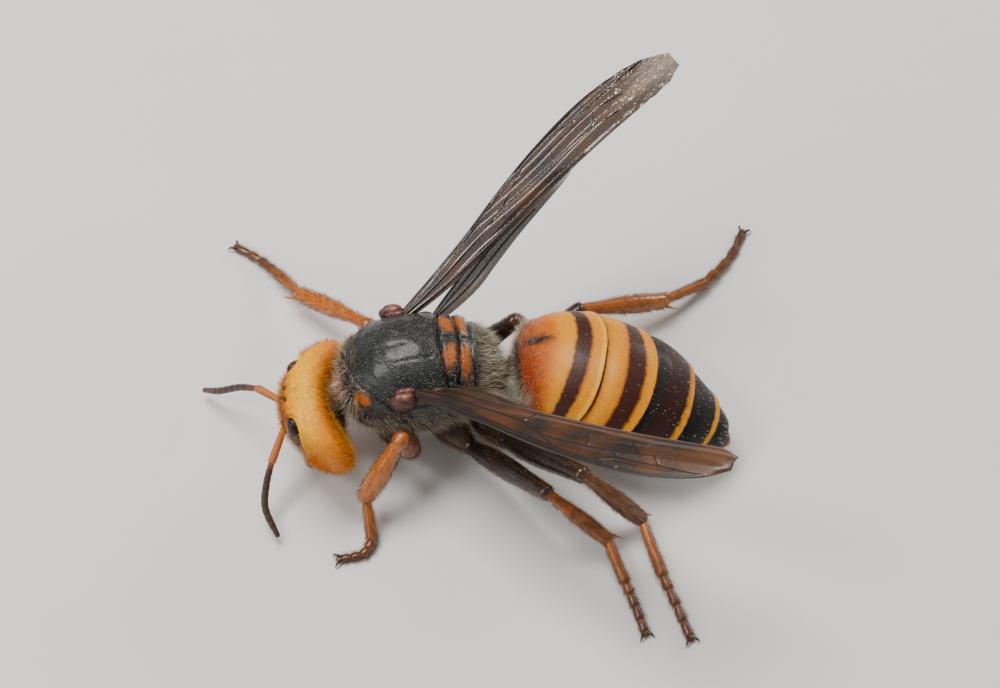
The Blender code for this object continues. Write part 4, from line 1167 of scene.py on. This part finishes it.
def blade_rings(root, tip, chord, outline, veins, rows, columns, lobe=1.0, crumple=0.0,
                depth=0.07, closeness=4.6, worn=1.0):
    """Rings round a thin blade from base to tip, with raised veins, flutes and a creased end."""
    length = np.linalg.norm(tip - root)
    way = (tip - root) / length
    chord = unit(chord - way * (chord @ way))
    normal = np.cross(way, chord)
    normal = normal if normal[2] > 0.0 else -normal
    f = np.linspace(0.0, 1.0, rows)[:, None]
    even = np.linspace(0.0, 1.0, columns)[None, :]
    v = (0.5 - 0.5 * np.cos(np.pi * even)) * 0.55 + even * 0.45
    lead, trail = curve(outline, f[:, 0]).T
    trail = trail * lobe
    wide = (lead - trail)[:, None]
    place_x = f * length * np.ones_like(v)
    place_y = trail[:, None] + wide * v
    gap = np.full(place_x.shape, -9.0)
    for line, half in veins:
        line = np.array(line)
        reach = np.linspace(0.0, 1.0, 40)
        dense = curve(np.column_stack([np.linspace(0.0, 1.0, len(line)), line]), reach)
        line_y = np.interp(dense[:, 0], f[:, 0], trail) + dense[:, 1] * np.interp(
            dense[:, 0], f[:, 0], wide[:, 0])
        spots = np.column_stack([dense[:, 0] * length, line_y])
        best = np.full(place_x.shape, 9.0)
        for a, b in zip(spots[:-1], spots[1:]):
            run = b - a
            u = np.clip(((place_x - a[0]) * run[0] + (place_y - a[1]) * run[1])
                        / (run @ run + 1e-9), 0.0, 1.0)
            best = np.minimum(best, np.hypot(place_x - a[0] - u * run[0],
                                             place_y - a[1] - u * run[1]))
        gap = np.maximum(gap, half * (1.0 - 0.35 * f) - best)
    ridge = ramp(gap, -0.11, 0.09)
    bow = WING_CAMBER * 4.0 * v * (1.0 - v)
    flutes = np.sin(place_y * closeness + 0.6 * np.sin(place_x * 0.45))
    flutes = depth * flutes * ramp(f, 0.05, 0.25)
    flutes = flutes * (1.0 - 0.5 * ridge) * ramp(v * (1.0 - v), 0.0, 0.12)
    wrinkle = np.zeros_like(place_x)
    if crumple:
        strength = ramp(f[:, 0], 0.72, 0.95)
        for i in range(rows):
            if strength[i] > 0.0:
                wrinkle[i] = [strength[i] * crumple * noise.noise(
                    Vector((place_x[i, j] * 1.1, place_y[i, j] * 2.1, 3.0)))
                    + strength[i] * crumple * 0.5 * noise.noise(
                    Vector((place_x[i, j] * 3.1, place_y[i, j] * 4.2, 7.0)))
                    for j in range(columns)]
    middle = (root + way * place_x[..., None] + chord * place_y[..., None]
              + normal * (bow + flutes + wrinkle)[..., None])
    edge = 1.0 - (2.0 * np.abs(v - 0.5)) ** 8
    thick = (WING_HALF_THICKNESS * edge + WING_EDGE_THICKNESS
             + VEIN_RISE * ridge * (1.0 - 0.4 * f))
    over = middle + normal * thick[..., None]
    under = middle - normal * thick[..., None]
    rings = np.concatenate([over, under[:, ::-1]], axis=1)
    outer = worn * ramp(f + 0.06 * np.sin(place_y * 2.0), 0.8, 0.99)
    return rings, {"vein": np.concatenate([gap, gap[:, ::-1]], axis=1),
                   "outer": np.concatenate([outer, outer[:, ::-1]], axis=1)}


forewing_finishes = {
    "left": wing_finish(
        "forewing_film", film=(0.015, 0.007, 0.0025), fold=(0.11, 0.03, 0.005),
        vein=(0.008, 0.003, 0.002), alpha=0.9, gloss=0.18),
    "right": wing_finish(
        "glossy_forewing_film", film=(0.024, 0.01, 0.009), fold=(0.11, 0.04, 0.01),
        vein=(0.01, 0.005, 0.005), alpha=0.78, gloss=1.0),
}
hindwing_finish = wing_finish(
    "hindwing_film", film=(0.045, 0.026, 0.014), fold=(0.075, 0.042, 0.018),
    vein=(0.02, 0.01, 0.007), alpha=0.74, gloss=0.4)
for side_name, side in (("left", -1.0), ("right", 1.0)):
    flip = np.array((1.0, side, 1.0))
    root, tip = from_thorax(FOREWING_ROOT * flip), WING_TIPS[side_name]
    rings, marks = blade_rings(root, tip, WING_CHORDS[side_name], FOREWING_OUTLINE,
                               FOREWING_VEINS, *FOREWING_GRID, 1.0, *WING_WEAR[side_name])
    forewing = shell(f"forewing_{side_name}_film", [(rings, marks)],
                     forewing_finishes[side_name])
    below = root + (tip - root) * HINDWING_REACH - np.array((0.0, 0.0, HINDWING_DROP))
    rings, marks = blade_rings(from_thorax(HINDWING_ROOT * flip), below,
                               WING_CHORDS[side_name], HINDWING_OUTLINE, HINDWING_VEINS,
                               *HINDWING_GRID, HINDWING_LOBE[side_name])
    hindwing = shell(f"hindwing_{side_name}_film", [(rings, marks)], hindwing_finish)
    for wing, node in ((forewing, f"forewing_{side_name}"), (hindwing, f"hindwing_{side_name}")):
        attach(wing, "root")
        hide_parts(node)


# Black hips and thighs, orange-brown shins with a spur on the front legs and two on the others,
# and bristly five-jointed feet that end in a pad between two curved claws.
COXA_RADIUS = 1.35
TROCHANTER_RADIUS = 0.8
# Radii along the thigh and the shin, as shares of the widest.
THIGH_SWELL = (0.6, 0.95, 1.0, 0.85, 0.74)
SHIN_SWELL = (0.62, 0.72, 0.95, 1.0, 0.84)
FOOT_RADII = (0.34, 0.44, 0.47, 0.52)
SPUR_LENGTH = 1.9
SPUR_RADII = (0.17, 0.13, 0.03)
FOOT_JOINTS = 4
PAD_RADII = (0.3, 0.34, 0.3)
CLAW_LENGTH = 0.95
CLAW_RADII = (0.17, 0.12, 0.03)
# Heights of a claw at its root, its arch and its tip.
CLAW_HEIGHTS = (0.42, 0.5, 0.12)
# Hip, trochanter, knee, ankle, end of the first foot joint, bend and claws; then the radii of
# thigh and shin, and how orange the thigh and the shin are.
LEGS = {
    "leg_left_front": (((-11.0, -6.2, 5.2), (-8.4, -8.9, 3.1), (-9.1, -11.3, 9.3),
                        (-12.55, -13.8, 3.0), (-12.0, -17.0, 0.9), (-12.6, -18.4, 0.5),
                        (-14.8, -18.95, 0.3)), 1.1, 0.95, 0.56, 1.0),
    "leg_right_front": (((-12.6, -2.4, 5.0), (-12.4, -1.3, 3.2), (-12.95, 4.1, 5.4),
                         (-20.0, 9.45, 2.6), (-22.5, 12.9, 1.2), (-24.5, 15.1, 0.5),
                         (-26.9, 16.75, 0.3)), 1.1, 0.85, 0.6, 0.95),
    "leg_left_middle": (((-5.6, -6.4, 4.8), (-3.2, -8.3, 3.4), (4.3, -15.35, 6.5),
                         (9.95, -17.75, 2.0), (11.5, -21.6, 1.1), (12.6, -24.4, 0.5),
                         (13.25, -26.4, 0.3)), 1.05, 0.75, 0.05, 0.6),
    "leg_right_middle": (((-6.4, -1.2, 4.6), (-4.2, 1.2, 3.2), (1.45, 2.05, 8.9),
                          (1.9, 5.8, 2.6), (6.2, 6.6, 1.0), (8.6, 6.7, 0.5),
                          (11.0, 6.4, 0.3)), 1.05, 0.75, 0.0, 0.6),
    "leg_left_hind": (((-2.1, -5.3, 5.0), (0.2, -7.7, 3.3), (7.6, -14.3, 8.0),
                       (13.2, -15.5, 1.8), (15.0, -20.8, 1.0), (16.4, -24.3, 0.5),
                       (17.35, -26.9, 0.3)), 1.1, 0.85, 0.0, 0.45),
    "leg_right_hind": (((-2.3, -2.0, 4.6), (0.3, 0.5, 2.5), (7.85, 5.4, 5.9),
                        (16.2, 8.6, 2.6), (20.6, 11.8, 1.1), (23.5, 15.4, 0.5),
                        (24.95, 18.6, 0.3)), 1.1, 0.9, 0.0, 0.75),
}
THIGH_BLACK = (0.012, 0.008, 0.007)
THIGH_BROWN_BLACK = (0.022, 0.011, 0.008)
LEG_BROWN = (0.13, 0.032, 0.008)
SHIN_ORANGE = (0.55, 0.14, 0.008)
CLAW_BLACK = (0.02, 0.009, 0.006)
leg_finish = shell_finish(
    "leg_shell", THIGH_BLACK, THIGH_BROWN_BLACK,
    [("brown", LEG_BROWN, 0.35), ("orange", SHIN_ORANGE, 0.35), ("claw", CLAW_BLACK, 0.2)],
    roughness=0.32, pits=(3600.0, 0.016), grain=(6500.0, 0.02), gloss=0.45)
bristle_finish = hair_finish("leg_bristles", (0.04, 0.014, 0.006), (0.4, 0.2, 0.07))


def leg_part(points, radii, columns, rows, orange, coat, shag, flat=1.0, tip=0.75, claw=0.0):
    """A tube of the leg with its marks: how orange it is and how hairy."""
    rings = tube_rings(points, radii, columns, rows, flat, tip)
    rings[..., 2] = np.maximum(rings[..., 2], LEAST_HEIGHT / MM)
    orange = np.atleast_1d(orange)
    level = np.interp(share_along(rings), np.linspace(0.0, 1.0, len(orange)), orange)
    run = unit(np.asarray(points[-1], float) - np.asarray(points[0], float))
    return rings, {"brown": level * 2.0 - 0.4, "orange": level * 2.0 - 1.2, "claw": claw - 0.5,
                   "coat": coat, "shag": shag, "lie": laid_on(run, outward(rings))}


down = np.array((0.0, 0.0, -1.0))
for leg_name, (joints, thigh, shin, thigh_orange, shin_orange) in LEGS.items():
    hip, trochanter, knee, ankle, foot, bend, claws = [np.array(j) for j in joints]
    femur_way = unit(knee - trochanter)
    tibia_way = unit(ankle - knee)
    parts = [
        leg_part((hip, (hip + trochanter) / 2.0, trochanter),
                 (COXA_RADIUS, COXA_RADIUS, TROCHANTER_RADIUS), 30, 26,
                 orange=0.05, coat=0.8, shag=0.8),
        leg_part((trochanter - femur_way * 0.3, trochanter + femur_way * 0.9),
                 (0.6, 0.78, 0.66), 26, 14, orange=0.1, coat=0.5, shag=0.5),
        leg_part((trochanter + femur_way * 0.6, (trochanter + knee) / 2.0, knee),
                 np.array(THIGH_SWELL) * thigh, 32, 50,
                 orange=(thigh_orange * 0.4, thigh_orange, thigh_orange,
                         thigh_orange * 0.8 + 0.14), coat=0.35, shag=0.45),
        leg_part((knee, (knee + ankle) / 2.0, ankle), np.array(SHIN_SWELL) * shin, 30, 50,
                 orange=(shin_orange, shin_orange, shin_orange * 0.85, shin_orange),
                 coat=0.6, shag=0.7),
        leg_part((ankle, (ankle + foot) / 2.0, foot), FOOT_RADII, 24, 36,
                 orange=(0.8, 0.66, 0.55), coat=1.0, shag=0.7),
    ]
    for turn in ((1.0,) if "front" in leg_name else (-1.0, 1.0)):
        out = unit(np.cross(tibia_way, down)) * turn
        start = ankle - tibia_way * 0.3 + out * shin * 0.55
        reach = unit(tibia_way + out * 0.45)
        end = start + reach * SPUR_LENGTH - out * 0.15
        parts.append(leg_part((start, start + reach, end), SPUR_RADII, 12, 14,
                              orange=0.95, coat=0.0, shag=0.3))
    chain = measured((foot, bend, claws))
    for i in range(FOOT_JOINTS):
        a, b = curve(chain, chain[-1, 0] * np.array((i - 0.1, i + 0.86)) / FOOT_JOINTS)
        parts.append(leg_part((a, a * 0.4 + b * 0.6, b), (0.22, 0.38, 0.5 - 0.03 * i), 22, 14,
                              orange=(0.56, 0.5 - 0.08 * i), coat=1.0, shag=0.7, flat=0.8))
    walk = unit(claws - bend)
    across = unit(np.cross(walk, down))
    parts.append(leg_part((claws - walk * 0.5, claws + walk * 0.35), PAD_RADII, 18, 12,
                          orange=0.4, coat=0.3, shag=0.4, flat=0.7))
    claw_parts = []
    for turn in (-1.0, 1.0):
        a = claws + across * turn * 0.16
        b = claws + walk * CLAW_LENGTH * 0.55 + across * turn * 0.5
        c = claws + walk * CLAW_LENGTH * 0.8 + across * turn * 0.72
        a[2], b[2], c[2] = CLAW_HEIGHTS
        claw_parts.append(leg_part((a, b, c), CLAW_RADII, 14, 20,
                                   orange=0.3, coat=0.0, shag=0.3, claw=1.0))
    leg = shell(f"{leg_name}_shell", parts, leg_finish)
    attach(leg, "root")
    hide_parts(f"{leg_name}_femur", f"{leg_name}_tibia", f"{leg_name}_tarsus")
    claw_pair = shell(f"{leg_name}_claws", claw_parts, leg_finish)
    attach(claw_pair, "root")
    grow_hair(f"{leg_name}_bristles", leg, "hair", bristle_finish, spacing=0.15 * MM,
              length=0.95 * MM, width=0.018 * MM, lift=0.6, wildness=0.35,
              seed=20 + len(leg_name))

low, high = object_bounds()
